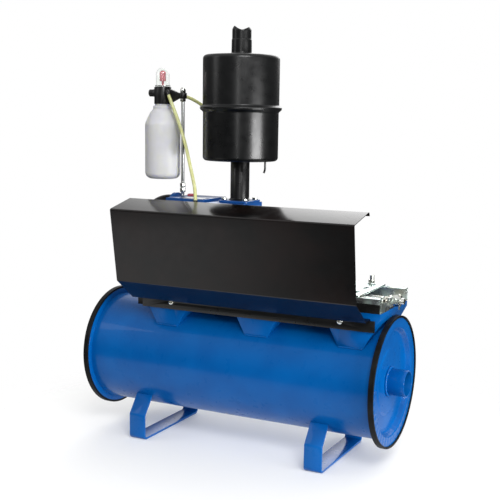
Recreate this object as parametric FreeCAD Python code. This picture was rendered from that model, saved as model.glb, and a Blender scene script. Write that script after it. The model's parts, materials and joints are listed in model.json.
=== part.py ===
import FreeCAD, Part
import math
import os

# Belt-driven vane vacuum pump set on a horizontal reserve tank.  Millimetres.
# Working frame: X along the tank axis, -Y towards the belt guard, +Z up from the floor.

V = FreeCAD.Vector
X_AXIS, Y_AXIS, Z_AXIS = V(1, 0, 0), V(0, 1, 0), V(0, 0, 1)

# ---- fasteners: shank radius, clearance hole, width across flats, head and nut heights ----
M6_R = 3.0
M6_HOLE = 3.2
M8_R = 4.0
M8_HOLE = 4.3
M8_AF = 13.0
M8_HEAD = 5.5
M8_NUT = 6.5
M10_R = 5.0
M10_HOLE = 5.2
M10_AF = 17.0
M10_HEAD = 6.5
M10_NUT = 8.0
THREAD_GAP = 0.05
TIGHT_GAP = 0.02
PAST = 1.0                    # how far a cutter runs past the face that it opens

# ---- tank ----
TANK_HALF_LENGTH = 372.7      # centre to the outer face of an end seal
TANK_AXIS_Z = 196.0
SHELL_R = 132.0
SHELL_WALL = 2.5
RIM_R = SHELL_R + 16.2        # shell flange and cover rim
RIM_SHEET = 3.0
SEAL_R = RIM_R + 1.8
SEAL_LIP_R = RIM_R - 3.7
SEAL_LIP = 3.0
SEAT_GAP = 0.05
DISH_R = SHELL_R - 11.0       # pressed recess of an end cover
DISH_DEPTH = 12.6
DISH_STEP_R = DISH_R - 45.0
DISH_STEP = 2.0
OUTLET_R = 30.15              # 60.3 mm pipe
OUTLET_WALL = 2.9
OUTLET_TIP_X = 401.4
WELD = 4.0
SUCTION_PIPE_R = 24.15        # 48.3 mm pipe
SUCTION_PIPE_WALL = 2.6

# ---- legs ----
LEG_X = 231.0
STRAP_WIDTH = 42.9
STRAP_T = 5.0
LEG_HALF_DEPTH = SHELL_R - 3.0
LEG_BEND_Z = TANK_AXIS_Z - SHELL_R - 2.0
LEG_RISE = 52.0               # height of a leg's sloping end above its bend
LEG_SLOPE = 42.0 / 32.0
STRAP_BEND_R = 6.0

# ---- saddles ----
SADDLE_X = (-164.0, 71.0, 299.0)
SADDLE_HALF_TOP = 65.5
SADDLE_FOOT_HALF = 28.5
SADDLE_TOP_Z = 366.5
SADDLE_SIDE = 10.5
SADDLE_SHEET = 3.0
FRONT_Y = -98.0
REAR_Y = 86.0

# ---- base frame ----
FRAME_LEFT_X = -235.0
FRAME_RIGHT_X = 362.5
FRAME_H = 20.0
FRAME_LEG = 30.0
FRAME_T = 3.0
CROSS_W = 40.0
CROSS_INNER_X = 40.0
FRAME_BOLT_INSET = 16.0
FRAME_BOLT_Y = 50.0
PUMP_PLATE_T = 8.0
PUMP_PLATE_X = (-205.0, 50.0)

# ---- belt guard ----
GUARD_X = (-245.7, 342.6)
GUARD_SHEET = 1.5
GUARD_TOP_BACK = V(0, -129.0, 587.0)
GUARD_TOP_FRONT = V(0, -214.0, 567.0)
GUARD_FRONT_LOW = V(0, -188.0, 398.0)
GUARD_LIP_FRONT = V(0, -122.0, 348.7)
GUARD_LIP_BACK_Z = 355.0
GUARD_BACK_LIP = 9.0
GUARD_BEND_R = 3.0
BAR_X = (-230.0, 354.0)
BAR_Z = (326.0, 351.0)
BAR_T = 4.0
BAR_SCREWS_X = (-151.0, 275.0)
BAR_SCREW_Z = 343.5
PAN_R = 6.7
PAN_RIM = 2.2
PAN_CROWN = 1.6
PAN_LENGTH = 16.0
CROSS_HALF = 0.6
STAY_X = (-215.0, 285.0)
STAY_WIDTH = 20.0
STAY_T = 3.0
STAY_BEND_R = 4.0
STAY_KNEE = 24.0              # a stay's upper bend and its end, below the guard's top
STAY_TOP = 5.0

# ---- motor slide ----
RAIL_LEFT_X = 70.0
RAIL_FRONT_END = 361.5
RAIL_REAR_END = 366.0
RAIL_W = 20.0
RAIL_TOP_Z = SADDLE_TOP_Z + FRAME_H + 11.5
RAIL_T = 2.5
RAIL_GAP = 0.1
PLATE_X = (112.0, 314.0)
PLATE_Y = (-94.0, 80.0)
PLATE_T = 4.0
PLATE_CORNER_R = 4.0
SLOT_X = (140.0, 293.0)
SLOT_Y = (-54.0, 7.0, 54.0)
SLOT_LENGTH = 27.0
SLOT_W = 9.0
CLAMP_X = (168.0, 282.0)
CLAMP_R = 4.0
CLAMP_STUD = 19.0             # bolt end above the plate
CLAMP_HEAD_HALF = 6.5
CLAMP_HEAD_T = 5.0
CLAMP_SLACK = 0.4
CLAMP_WASHER_R = 8.5
CLAMP_WASHER_T = 1.6
PLATE_TRAVEL = 38.0
END_PLATE_T = 3.0
END_PLATE_RIGHT_Y = -40.0
ARM_HALF = 9.5
TAB_HALF = 10.0
END_BOLT_Y = FRONT_Y + 13.0
END_BOLT_Z = RAIL_TOP_Z - 3.0
END_WASHER_R = 7.0
END_WASHER_T = 1.2
END_NUT_AF = 12.0
END_STUD = 9.0
SCREW_Y = -18.0
SCREW_Z = RAIL_TOP_Z - 13.5
SCREW_R = 7.0
SCREW_TIP_X = 391.0
COLLAR_R = 10.5
COLLAR_T = 5.0
COLLAR_GAP = 0.4
NUT_GAP = 0.2
SCREW_NUT_AF = 22.0
SCREW_NUT_H = 8.5
PIN_R = 2.2
PIN_REACH = (-19.5, 15.0)     # ends of the cross pin below and above the screw
LUG_X = (272.0, 290.0)
LUG_HALF = 14.0
LUG_DROP = 13.0

# ---- pump ----
PUMP_X = -85.0
PUMP_Y = (-76.0, 64.0)
BORE_R = 62.0
ECCENTRICITY = 7.6
ROTOR_GAP = 0.4
ROTOR_R = BORE_R - ECCENTRICITY - ROTOR_GAP
CASE_WALL = 20.0
CASE_R = BORE_R + CASE_WALL
CASE_LIFT = 1.9               # case above the pump plate
SHAFT_Z = SADDLE_TOP_Z + FRAME_H + PUMP_PLATE_T + CASE_LIFT + CASE_R + ECCENTRICITY
COVER_SCREW_R = BORE_R + CASE_WALL / 2
COVER_SCREW_SEAT = 4.02       # drilled radius for an M8 screw
COVER_T = 20.0
BOSS_R = 40.0
BOSS_T = 10.0
OIL_BOSS_R = 8.0
SHAFT_SEAL_R = 22.0
COVER_SCREW_DEPTH = 19.0
COVER_SCREW_HEAD_R = 6.5
COVER_SCREW_HEAD = 8.0
SOCKET_AF = 6.0
PORT_Z = SHAFT_Z + 70.0
BLOCK_TOP_Z = SHAFT_Z + 98.0
BLOCK_LEFT_X = -192.0
BLOCK_RIGHT_X = 8.0
OUTLET_TOP_Z = SHAFT_Z + 91.0
BLOCK_Y = (-60.0, 50.0)
FOOT_HALF = CASE_R + 10.0
FOOT_H = 16.0
FOOT_INSET = 8.0              # feet and pedestal inside the body's end faces
FOOT_BOLT_INSET = 12.0
FOOT_BOLT_Y = 48.0
SPOTFACE_R = 12.0
PEDESTAL_HALF = 58.0
SUCTION_CHAMBER_H = 66.0
EXHAUST_CHAMBER_H = 53.0
INLET_R = 24.0
PASSAGE_R = 16.0
RIB_COUNT = 7
RIB_PITCH = 18.0
RIB_T = 5.0
RIB_H = 7.0
SEAT_SHAFT_R = 17.0
BEARING_SHAFT_R = 15.0
PULLEY_SHAFT_R = 14.0
BEARING_R = 31.0
BEARING_W = 16.0
RUNNING = 0.05
VANE_T = 6.0
VANE_ROOT_R = 20.3
VANE_TIP_R = ROTOR_R - 0.4
VANE_COUNT = 4
DATA_PLATE_X = (-156.0, -96.0)
DATA_PLATE_Y = (-55.0, -20.0)
PLUG_X = -169.0
PLUG_Y = 18.0
PULLEY_R = 72.0
PULLEY_Y = (-172.0, -118.0)
PULLEY_HUB_R = 30.0
GROOVES = 3
GROOVE_PITCH = 17.0
GROOVE_DEPTH = 13.0
GROOVE_TOP_HALF = 6.8
GROOVE_FOOT_HALF = 2.6
PULLEY_RIM = 22.0
PULLEY_WEB_T = 12.0
WEB_HOLES = 4
WEB_HOLE_R = 6.0
WEB_HOLE_CIRCLE = 40.0
KEY_HALF = 4.0
KEY_H = 7.0
KEY_LENGTH = 40.0

# ---- suction side ----
SUCTION_X = -262.0
SUCTION_Y = -6.0
ELBOW_R = 31.0
ELBOW_BEND = 50.0
PORT_FLANGE_R = 37.0
PORT_FLANGE_T = 8.0
VALVE_R = 36.0
VALVE_Z = (372.0, 436.0)
VALVE_SPIGOT_TOP = 474.0

# ---- exhaust and silencer ----
EXHAUST_X = -31.0
EXHAUST_Y = 10.0
PIPE_R = 22.3
PIPE_WALL = 2.3
FLANGE_T = 5.0
FLANGE_HALF = 38.0
FLANGE_BOLT = 27.0
FLANGE_CORNER_R = 9.0
FLANGE_BOLT_DEPTH = 14.0
SILENCER_R = 89.0
SILENCER_Z = (674.0, 915.0)
BEAD_R = 95.5
BEAD_H = 15.0
BEAD_CREST = 3.0              # half height of the rolled seam's crest
SILENCER_SHEET = 1.5
TAIL_TOP_Z = 981.0
TAIL_DEPTH = 30.0             # tail pipe inside the silencer
SLEEVE_T = 0.8
SLEEVE_DROP = 31.0
MOUTH_SHARE = 0.8             # radius of the cut through the mouth, as a share of the pipe's
MOUTH_TURN = 27.0
CORE_ROWS = 5
CORE_ROW_START = 30.0
CORE_ROW_PITCH = 38.0
CORE_HOLE_R = 4.0
DRAIN_R = 2.3
DRAIN_OFFSET = 65.0
DRAIN_DROP = 26.0

# ---- oiler ----
ROD_X = -181.5
ROD_R = 4.0
ROD_NUT_Z = (594.0, 605.5)
ROD_NUT_H = 10.0
BOTTLE_X = -238.0
BOTTLE_R = 42.8
BOTTLE_Z = (624.5, 803.0)
BOTTLE_WALL = 1.6
BOTTLE_NECK_R = 18.8
BOTTLE_HEEL = (18.0, 24.0)    # radius of the flat foot and height of the rounded heel
HEAD_R = 20.5
HEAD_Z = (803.0, 842.5)
EYE_Z = (816.0, 829.0)
EYE_R = 9.3
ACORN_H = 7.0
ACORN_DOME_R = 6.3
DOME_R = 16.2
DOME_TOP_Z = 889.0
DRIP_R = 7.5
DRIP_Z = (857.0, 881.5)
KNOB_Z = 829.0
KNOB_R = 8.6
KNOB_T = 10.0
KNOB_GROOVES = 10
KNOB_GROOVE_R = 1.2
NEEDLE_R = 3.0
OIL_TUBE_R = 4.0
FITTING_REACH = 9.0           # from a tube's end to its elbow's corner

# Oil tube routes, from the oiler head to the front and rear pump covers.
FRONT_TUBE = [V(-211, -18, 824), V(-202, -19, 806), V(-190, -19, 780), V(-174, -21, 745),
              V(-157, -27, 705), V(-137, -42, 663), V(-114, -66, 630), V(-100, -80, 606),
              V(-95, -88, 583)]
REAR_TUBE = [V(-225, 25, 824), V(-211, 44, 825), V(-188, 61, 816), V(-158, 80, 792),
             V(-126, 101, 757), V(-98, 111, 716), V(-82, 105, 674), V(-75, 90, 637),
             V(-72, 77, 609), V(-71, 74, 588)]


def box(x0, x1, y0, y1, z0, z1):
    return Part.makeBox(x1 - x0, y1 - y0, z1 - z0, V(x0, y0, z0))


def cyl(radius, start, end):
    return Part.makeCylinder(radius, (end - start).Length, start, end - start)


def pipe(outer, inner, start, end):
    return cyl(outer, start, end).cut(cyl(inner, start, end))


def fused(shapes):
    shapes = list(shapes)
    body = shapes[0]
    if len(shapes) > 1:
        body = body.multiFuse(shapes[1:])
    return body.removeSplitter()


def group(shapes):
    solids = [solid for shape in shapes for solid in shape.Solids]
    return Part.makeCompound(solids)


def hex_prism(across_flats, start, end, turn=0.0):
    """Hexagonal prism between two points on one axis."""
    axis = (end - start).normalize()
    side = Z_AXIS if abs(axis.z) < 0.9 else X_AXIS
    radius = across_flats / 2 / math.cos(math.pi / 6)
    arm = FreeCAD.Rotation(axis, turn).multVec(side) * radius
    corners = [start + FreeCAD.Rotation(axis, 60 * k).multVec(arm) for k in range(6)]
    face = Part.Face(Part.makePolygon(corners + corners[:1]))
    return face.extrude(end - start)


def upright_edges(shape):
    return [edge for edge in shape.Edges if abs(edge.tangentAt(edge.FirstParameter).z) > 0.9]


def bolt(radius, across_flats, head_height, seat, outward, length):
    """Hexagon-headed bolt: the head stands on its seat, the shank runs back from it."""
    head = hex_prism(across_flats, seat, seat + outward * head_height)
    return fused([head, cyl(radius, seat - outward * length, seat + outward)])


def nut(across_flats, bore, start, end):
    return hex_prism(across_flats, start, end).cut(cyl(bore, start, end))


def corner_arc(before, corner, after, radius):
    """Tangent arc at one corner of a path; returns its edge, start and end."""
    inward = (corner - before).normalize()
    outward = (after - corner).normalize()
    half_turn = inward.getAngle(outward) / 2
    reach = radius * math.tan(half_turn)
    start = corner - inward * reach
    end = corner + outward * reach
    bulge = radius / math.cos(half_turn) - radius
    middle = corner + (outward - inward).normalize() * bulge
    return Part.Arc(start, middle, end).toShape(), start, end


def rounded_path(points, radii):
    """Straight runs joined by tangent arcs; radii has one value per inner point."""
    edges = []
    last = points[0]
    for k, radius in enumerate(radii):
        arc, start, end = corner_arc(points[k], points[k + 1], points[k + 2], radius)
        if (start - last).Length > 1e-6:
            edges.append(Part.LineSegment(last, start).toShape())
        edges.append(arc)
        last = end
    edges.append(Part.LineSegment(last, points[-1]).toShape())
    return edges


def folded(points, thickness, bend, normal):
    """Face of a bent sheet: the points are one side, the sheet lies on its left about normal."""
    def left(a, b):
        return normal.cross(b - a).normalize() * thickness

    count = len(points)
    other = [points[0] + left(points[0], points[1])]
    near_radii, far_radii = [], []
    for k in range(1, count - 1):
        inward = (points[k] - points[k - 1]).normalize()
        outward = (points[k + 1] - points[k]).normalize()
        turn = math.atan2(normal.dot(inward.cross(outward)), inward.dot(outward))
        shift = left(points[k - 1], points[k]) + inward * (-thickness * math.tan(turn / 2))
        other.append(points[k] + shift)
        near_radii.append(bend + thickness if turn > 0 else bend)
        far_radii.append(bend if turn > 0 else bend + thickness)
    other.append(points[-1] + left(points[-2], points[-1]))
    edges = rounded_path(points, near_radii)
    edges.append(Part.LineSegment(points[-1], other[-1]).toShape())
    edges += rounded_path(other[::-1], far_radii[::-1])
    edges.append(Part.LineSegment(other[0], points[0]).toShape())
    return Part.Face(Part.Wire(edges))


def turned(points, axis_point, axis):
    """Solid of revolution of a closed straight-sided outline."""
    face = Part.Face(Part.makePolygon(points + points[:1]))
    return face.revolve(axis_point, axis, 360)


def cord_radius(before, corner, after):
    """Radius of the tangent arc that a free tube takes at one of its route's points."""
    run = min((corner - before).Length, (after - corner).Length)
    half_turn = (corner - before).getAngle(after - corner) / 2
    return 0.45 * run / math.tan(half_turn)


def cord_tube(name, route, radius):
    radii = [cord_radius(*route[k:k + 3]) for k in range(len(route) - 2)]
    wire = Part.Wire(rounded_path(route, radii))
    circle = Part.Wire(Part.makeCircle(radius, route[0], route[1] - route[0]))
    tube = wire.makePipeShell([circle], True, True)
    ratio = tube.Volume / (math.pi * radius ** 2 * wire.Length)
    print(name, "length %.0f" % wire.Length, "volume ratio %.4f" % ratio,
          "radii", [round(value) for value in radii])
    return tube


# ---- tank ----
def seal_inner_x():
    return TANK_HALF_LENGTH - 2 * SEAL_LIP - 2 * RIM_SHEET - 2 * SEAT_GAP


def tank_shell():
    half = seal_inner_x() + SEAL_LIP + SEAT_GAP + RIM_SHEET
    axis = V(0, 0, TANK_AXIS_Z)
    tube = cyl(SHELL_R, axis - X_AXIS * half, axis + X_AXIS * half)
    flanges = [cyl(RIM_R, axis + X_AXIS * s * half, axis + X_AXIS * s * (half - RIM_SHEET))
               for s in (-1, 1)]
    stub_top = V(SUCTION_X, SUCTION_Y, VALVE_Z[0])
    stub_foot = V(SUCTION_X, SUCTION_Y, TANK_AXIS_Z + SHELL_R - 12)
    stub = cyl(SUCTION_PIPE_R, stub_foot, stub_top)
    inside = cyl(SHELL_R - SHELL_WALL, axis - X_AXIS * (half + 1), axis + X_AXIS * (half + 1))
    bore = cyl(SUCTION_PIPE_R - SUCTION_PIPE_WALL, stub_foot - Z_AXIS * 20, stub_top)
    return fused([tube, stub] + flanges).cut(inside).cut(bore)


def cover_profile():
    """Front side of the pressed cover in the XZ plane, from its rim to the axis."""
    face = TANK_HALF_LENGTH - SEAL_LIP - SEAT_GAP
    floor = face - DISH_DEPTH
    centre = floor + DISH_STEP
    return [V(face, 0, RIM_R), V(face, 0, DISH_R), V(floor, 0, DISH_R - 3),
            V(floor, 0, DISH_STEP_R), V(centre, 0, DISH_STEP_R - 5), V(centre, 0, 0)]


def end_cover():
    """Right-hand cover about the X axis through the origin."""
    face = folded(cover_profile(), RIM_SHEET, 2.0, Y_AXIS)
    return face.revolve(V(0, 0, 0), X_AXIS, 360)


def end_cover_right():
    cover = end_cover()
    floor = cover_profile()[-1].x
    inner = OUTLET_R - OUTLET_WALL
    cover = cover.cut(cyl(OUTLET_R, V(floor - 20, 0, 0), V(floor + 20, 0, 0)))
    tube = pipe(OUTLET_R, inner, V(floor - RIM_SHEET, 0, 0), V(OUTLET_TIP_X, 0, 0))
    weld = turned([V(floor - 0.5, 0, OUTLET_R - 1), V(floor - 0.5, 0, OUTLET_R + WELD),
                   V(floor + 1, 0, OUTLET_R + WELD - 1), V(floor + WELD - 1, 0, OUTLET_R + 1),
                   V(floor + WELD, 0, OUTLET_R - 1)], V(0, 0, 0), X_AXIS)
    shape = fused([cover, tube, weld])
    shape.translate(V(0, 0, TANK_AXIS_Z))
    return shape


def end_cover_left():
    shape = end_cover().mirror(V(0, 0, 0), X_AXIS)
    shape.translate(V(0, 0, TANK_AXIS_Z))
    return shape


def seal_ring(side):
    """Rubber channel that grips the shell flange and the cover rim together."""
    outer = TANK_HALF_LENGTH
    inner = seal_inner_x()
    floor = RIM_R + SEAT_GAP
    ring = pipe(SEAL_R, SEAL_LIP_R, V(inner, 0, 0), V(outer, 0, 0))
    ring = ring.cut(cyl(floor, V(inner + SEAL_LIP, 0, 0), V(outer - SEAL_LIP, 0, 0)))
    if side < 0:
        ring = ring.mirror(V(0, 0, 0), X_AXIS)
    ring.translate(V(0, 0, TANK_AXIS_Z))
    return ring


def leg(x_centre):
    """Bent strap: two feet joined under the tank, its ends welded to the shell."""
    top = V(x_centre, -LEG_HALF_DEPTH + LEG_RISE / LEG_SLOPE, LEG_BEND_Z + LEG_RISE)
    half = [top, V(x_centre, -LEG_HALF_DEPTH, LEG_BEND_Z), V(x_centre, -LEG_HALF_DEPTH, 0)]
    points = half + [V(p.x, -p.y, p.z) for p in half[::-1]]
    face = folded(points, STRAP_T, STRAP_BEND_R, X_AXIS)
    strap = face.extrude(X_AXIS * STRAP_WIDTH)
    strap.translate(X_AXIS * (-STRAP_WIDTH / 2))
    return strap.cut(shell_solid())


def shell_solid():
    reach = X_AXIS * TANK_HALF_LENGTH
    axis = V(0, 0, TANK_AXIS_Z)
    return cyl(SHELL_R, axis - reach, axis + reach)


def shell_height(y):
    return TANK_AXIS_Z + math.sqrt(SHELL_R ** 2 - y ** 2)


def saddle_prism(x_centre, inset, top_z, y0, y1):
    """Tapered block under the frame: upright at the top, narrower at the shell."""
    foot_z = shell_height(FRONT_Y)
    half_top = SADDLE_HALF_TOP - inset
    half_foot = SADDLE_FOOT_HALF - inset
    knee_z = SADDLE_TOP_Z - SADDLE_SIDE
    side = [V(half_foot, y0, foot_z), V(half_top, y0, knee_z), V(half_top, y0, top_z)]
    points = [V(x_centre + p.x, p.y, p.z) for p in side]
    points += [V(x_centre - p.x, p.y, p.z) for p in side[::-1]]
    face = Part.Face(Part.makePolygon(points + points[:1]))
    return face.extrude(Y_AXIS * (y1 - y0))


def saddle(x_centre):
    t = SADDLE_SHEET
    outer = saddle_prism(x_centre, 0.0, SADDLE_TOP_Z, FRONT_Y, REAR_Y)
    inner = saddle_prism(x_centre, t, SADDLE_TOP_Z - t, FRONT_Y + t, REAR_Y - t)
    shape = outer.cut(inner).cut(shell_solid())
    return shape.cut(group(frame_bolt_holes() + bar_screw_holes()))


# ---- base frame ----
def cross_xs():
    return [(FRAME_LEFT_X, FRAME_LEFT_X + CROSS_W),
            (CROSS_INNER_X - CROSS_W / 2, CROSS_INNER_X + CROSS_W / 2),
            (FRAME_RIGHT_X - CROSS_W, FRAME_RIGHT_X)]


def frame_bolt_points():
    """Bolt centres on top of the cross members, two over each saddle."""
    top = SADDLE_TOP_Z + FRAME_T
    xs = [FRAME_LEFT_X + CROSS_W - FRAME_BOLT_INSET, CROSS_INNER_X, FRAME_RIGHT_X - CROSS_W / 2]
    middle = (FRONT_Y + REAR_Y) / 2
    return [V(x, middle + s * FRAME_BOLT_Y, top) for x in xs for s in (-1, 1)]


def frame_bolt_holes():
    return [cyl(M8_HOLE, p - Z_AXIS * FRAME_H, p + Z_AXIS * PAST) for p in frame_bolt_points()]


def bar_screw_holes():
    """Clearance holes through the bar, the guard's flange and the front of the saddles."""
    reach = BAR_T + GUARD_SHEET + PAST
    return [cyl(M6_HOLE, V(x, FRONT_Y - reach, BAR_SCREW_Z), V(x, FRONT_Y + reach, BAR_SCREW_Z))
            for x in BAR_SCREWS_X]


def base_frame():
    z = SADDLE_TOP_Z
    t = FRAME_T
    bars = []
    for y, s in ((FRONT_Y, 1), (REAR_Y, -1)):
        ys = sorted((y, y + s * t))
        bars.append(box(FRAME_LEFT_X, FRAME_RIGHT_X, ys[0], ys[1], z, z + FRAME_H))
        ys = sorted((y, y + s * FRAME_LEG))
        bars.append(box(FRAME_LEFT_X, FRAME_RIGHT_X, ys[0], ys[1], z, z + t))
    for x0, x1 in cross_xs():
        bars.append(box(x0, x1, FRONT_Y + t, REAR_Y - t, z, z + t))
    return fused(bars).cut(group(frame_bolt_holes()))


def pump_plate():
    z = SADDLE_TOP_Z + FRAME_H
    plate = box(PUMP_PLATE_X[0], PUMP_PLATE_X[1], FRONT_Y, REAR_Y, z, z + PUMP_PLATE_T)
    holes = [cyl(M10_HOLE, p - Z_AXIS * (FOOT_H + PUMP_PLATE_T + PAST), p)
             for p in pump_bolt_points()]
    return plate.cut(group(holes))


def pan_head_screw(x):
    """Cross-headed screw that holds the bar, and with it the guard, to a saddle's front."""
    seat = V(x, FRONT_Y - GUARD_SHEET - BAR_T, BAR_SCREW_Z)
    rim = seat - Y_AXIS * PAN_RIM
    tip = seat + Y_AXIS * PAN_LENGTH
    parts = [cyl(PAN_R, seat, rim), Part.makeCone(PAN_R, M6_R + 1, PAN_CROWN, rim, Y_AXIS * -1),
             cyl(M6_R, seat - Y_AXIS * PAST, tip)]
    top = rim.y - PAN_CROWN - PAST
    floor = rim.y - 0.2
    cross = [box(x - a, x + a, top, floor, BAR_SCREW_Z - b, BAR_SCREW_Z + b)
             for a, b in ((M6_R, CROSS_HALF), (CROSS_HALF, M6_R))]
    return fused(parts).cut(group(cross))


def frame_fasteners():
    """Bolts of the frame, the two screws of the guard bar and the end plate's bolt."""
    pieces = []
    for p in frame_bolt_points():
        below = p - Z_AXIS * (FRAME_T + SADDLE_SHEET)
        pieces.append(bolt(M8_R, M8_AF, M8_HEAD, p, Z_AXIS, FRAME_T + SADDLE_SHEET + 9))
        pieces.append(nut(M8_AF, M8_R + THREAD_GAP, below - Z_AXIS * M8_NUT, below))
    pieces += [pan_head_screw(x) for x in BAR_SCREWS_X]
    return group(pieces + end_bolt())


# ---- belt guard ----
def guard_top_directions():
    """Unit vectors along the guard's top, towards the back, and square to it, upwards."""
    slope = (GUARD_TOP_BACK - GUARD_TOP_FRONT).normalize()
    return slope, slope.cross(X_AXIS) * -1


def belt_guard():
    """One folded sheet: back lip, sloping top, leaning front, sloping band, lip and flange."""
    slope, square = guard_top_directions()
    back_lip = GUARD_TOP_BACK + square * -GUARD_BACK_LIP
    flange_y = FRONT_Y - GUARD_SHEET
    points = [back_lip, GUARD_TOP_BACK, GUARD_TOP_FRONT, GUARD_FRONT_LOW, GUARD_LIP_FRONT,
              V(0, flange_y, GUARD_LIP_BACK_Z), V(0, flange_y, BAR_Z[0] + 2)]
    face = folded(points, GUARD_SHEET, GUARD_BEND_R, X_AXIS)
    sheet = face.extrude(X_AXIS * (GUARD_X[1] - GUARD_X[0]))
    sheet.translate(X_AXIS * GUARD_X[0])
    return sheet.cut(group(bar_screw_holes()))


def guard_bar():
    face = FRONT_Y - GUARD_SHEET
    bar = box(BAR_X[0], BAR_X[1], face - BAR_T, face, BAR_Z[0], BAR_Z[1])
    return bar.cut(group(bar_screw_holes()))


def guard_stays():
    """Flat stays from the front angle's face up to the guard's back lip."""
    slope, square = guard_top_directions()
    lip_face = GUARD_TOP_BACK + slope * STAY_T
    points = [V(0, FRONT_Y, SADDLE_TOP_Z + PAST), V(0, FRONT_Y, SADDLE_TOP_Z + FRAME_H + 4),
              lip_face - square * STAY_KNEE, lip_face - square * STAY_TOP]
    face = folded(points, STAY_T, STAY_BEND_R, X_AXIS)
    stays = []
    for x in STAY_X:
        stay = face.extrude(X_AXIS * STAY_WIDTH)
        stay.translate(X_AXIS * (x - STAY_WIDTH / 2))
        stays.append(stay)
    return group(stays)


# ---- motor slide ----
def rail(front):
    """Rolled channel that stands on the frame's angle, slotted for the clamp bolts."""
    z0 = SADDLE_TOP_Z + FRAME_T
    y0 = FRONT_Y + FRAME_T + RAIL_GAP
    y1 = y0 + RAIL_W
    x0 = RAIL_LEFT_X
    x1 = RAIL_FRONT_END if front else RAIL_REAR_END
    channel = fused([box(x0, x1, y0, y0 + RAIL_T, z0, RAIL_TOP_Z),
                     box(x0, x1, y0, y1, z0, z0 + RAIL_T),
                     box(x0, x1, y0, y1, RAIL_TOP_Z - RAIL_T, RAIL_TOP_Z)])
    for x in CLAMP_X:
        reach = PLATE_TRAVEL + CLAMP_R + 2
        width = CLAMP_R + 0.5
        channel = channel.cut(box(x - reach, x + reach, rail_bolt_y() - width,
                                  rail_bolt_y() + width, RAIL_TOP_Z - 5, RAIL_TOP_Z + 1))
    if not front:
        channel = channel.mirror(V(0, (FRONT_Y + REAR_Y) / 2, 0), Y_AXIS)
    return channel


def rail_bolt_y():
    return FRONT_Y + FRAME_T + RAIL_GAP + RAIL_W / 2 + 1


def clamp_points():
    middle = (FRONT_Y + REAR_Y) / 2
    rear = 2 * middle - rail_bolt_y()
    return [V(x, y, RAIL_TOP_Z + PLATE_T) for x in CLAMP_X for y in (rail_bolt_y(), rear)]


def slot_cutter(x, y):
    z0 = RAIL_TOP_Z - 1
    z1 = RAIL_TOP_Z + PLATE_T + 1
    straight = (SLOT_LENGTH - SLOT_W) / 2
    r = SLOT_W / 2
    ends = [cyl(r, V(x, y + s * straight, z0), V(x, y + s * straight, z1)) for s in (-1, 1)]
    return fused(ends + [box(x - r, x + r, y - straight, y + straight, z0, z1)])


def slot_points():
    return [(x, y) for x in SLOT_X for y in SLOT_Y]


def motor_plate():
    z = RAIL_TOP_Z
    plate = box(PLATE_X[0], PLATE_X[1], PLATE_Y[0], PLATE_Y[1], z, z + PLATE_T)
    plate = plate.makeFillet(PLATE_CORNER_R, upright_edges(plate))
    cuts = [slot_cutter(x, y) for x, y in slot_points()]
    cuts += [cyl(CLAMP_R + 0.25, p - Z_AXIS * 20, p + Z_AXIS) for p in clamp_points()]
    lug = box(LUG_X[0], LUG_X[1], SCREW_Y - LUG_HALF, SCREW_Y + LUG_HALF, SCREW_Z - LUG_DROP, z)
    bore = cyl(SCREW_R + RUNNING, screw_point(LUG_X[0] - PAST), screw_point(LUG_X[1] + PAST))
    return fused([plate.cut(group(cuts)), lug]).cut(bore)


def plate_clamps():
    """Square-headed bolts that slide in the rails, with washers and nuts on the plate."""
    pieces = []
    half = CLAMP_HEAD_HALF
    bore = CLAMP_R + THREAD_GAP
    for p in clamp_points():
        under = V(p.x, p.y, RAIL_TOP_Z - RAIL_T - CLAMP_SLACK)
        washer_top = p + Z_AXIS * CLAMP_WASHER_T
        head = box(p.x - half, p.x + half, p.y - half, p.y + half, under.z - CLAMP_HEAD_T, under.z)
        shank = cyl(CLAMP_R, under - Z_AXIS, p + Z_AXIS * CLAMP_STUD)
        pieces.append(fused([head, shank]))
        pieces.append(pipe(CLAMP_WASHER_R, bore, p, washer_top))
        pieces.append(nut(M8_AF, bore, washer_top, washer_top + Z_AXIS * M8_NUT))
    return group(pieces)


def end_plate():
    """Plate on the frame's right end: a low wall, a tab for a bolt and an arm for the screw."""
    x0, x1 = FRAME_RIGHT_X, FRAME_RIGHT_X + END_PLATE_T
    z0 = SADDLE_TOP_Z + 0.6
    wall = box(x0, x1, FRONT_Y, END_PLATE_RIGHT_Y, z0, z0 + FRAME_H + 1)
    arm = box(x0, x1, END_PLATE_RIGHT_Y - 4, SCREW_Y + ARM_HALF + 1, SCREW_Z - ARM_HALF,
              SCREW_Z + ARM_HALF)
    tab = box(x0, x1, END_BOLT_Y - TAB_HALF, END_BOLT_Y + TAB_HALF, z0, END_BOLT_Z + TAB_HALF - 2)
    bore = cyl(SCREW_R + RUNNING, screw_point(x0 - PAST), screw_point(x1 + PAST))
    bolt_hole = cyl(M8_R + 0.1, V(x0 - PAST, END_BOLT_Y, END_BOLT_Z), V(x1 + PAST, END_BOLT_Y, END_BOLT_Z))
    return fused([wall, arm, tab]).cut(bore).cut(bolt_hole)


def end_bolt():
    """Washer, nut and stud in the end plate's front tab."""
    face = V(FRAME_RIGHT_X + END_PLATE_T, END_BOLT_Y, END_BOLT_Z)
    bore = M8_R + THREAD_GAP
    washer_top = face + X_AXIS * END_WASHER_T
    washer = pipe(END_WASHER_R, bore, face, washer_top)
    hexagon = nut(END_NUT_AF, bore, washer_top, washer_top + X_AXIS * M8_HEAD)
    shank = cyl(M8_R, face - X_AXIS * (END_PLATE_T + 1), face + X_AXIS * END_STUD)
    return [washer, hexagon, shank]


def screw_point(x):
    return V(x, SCREW_Y, SCREW_Z)


def nut_start(k):
    """Left face of one of the two nuts outside the end plate."""
    return FRAME_RIGHT_X + END_PLATE_T + COLLAR_GAP + k * (SCREW_NUT_H + NUT_GAP)


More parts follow.
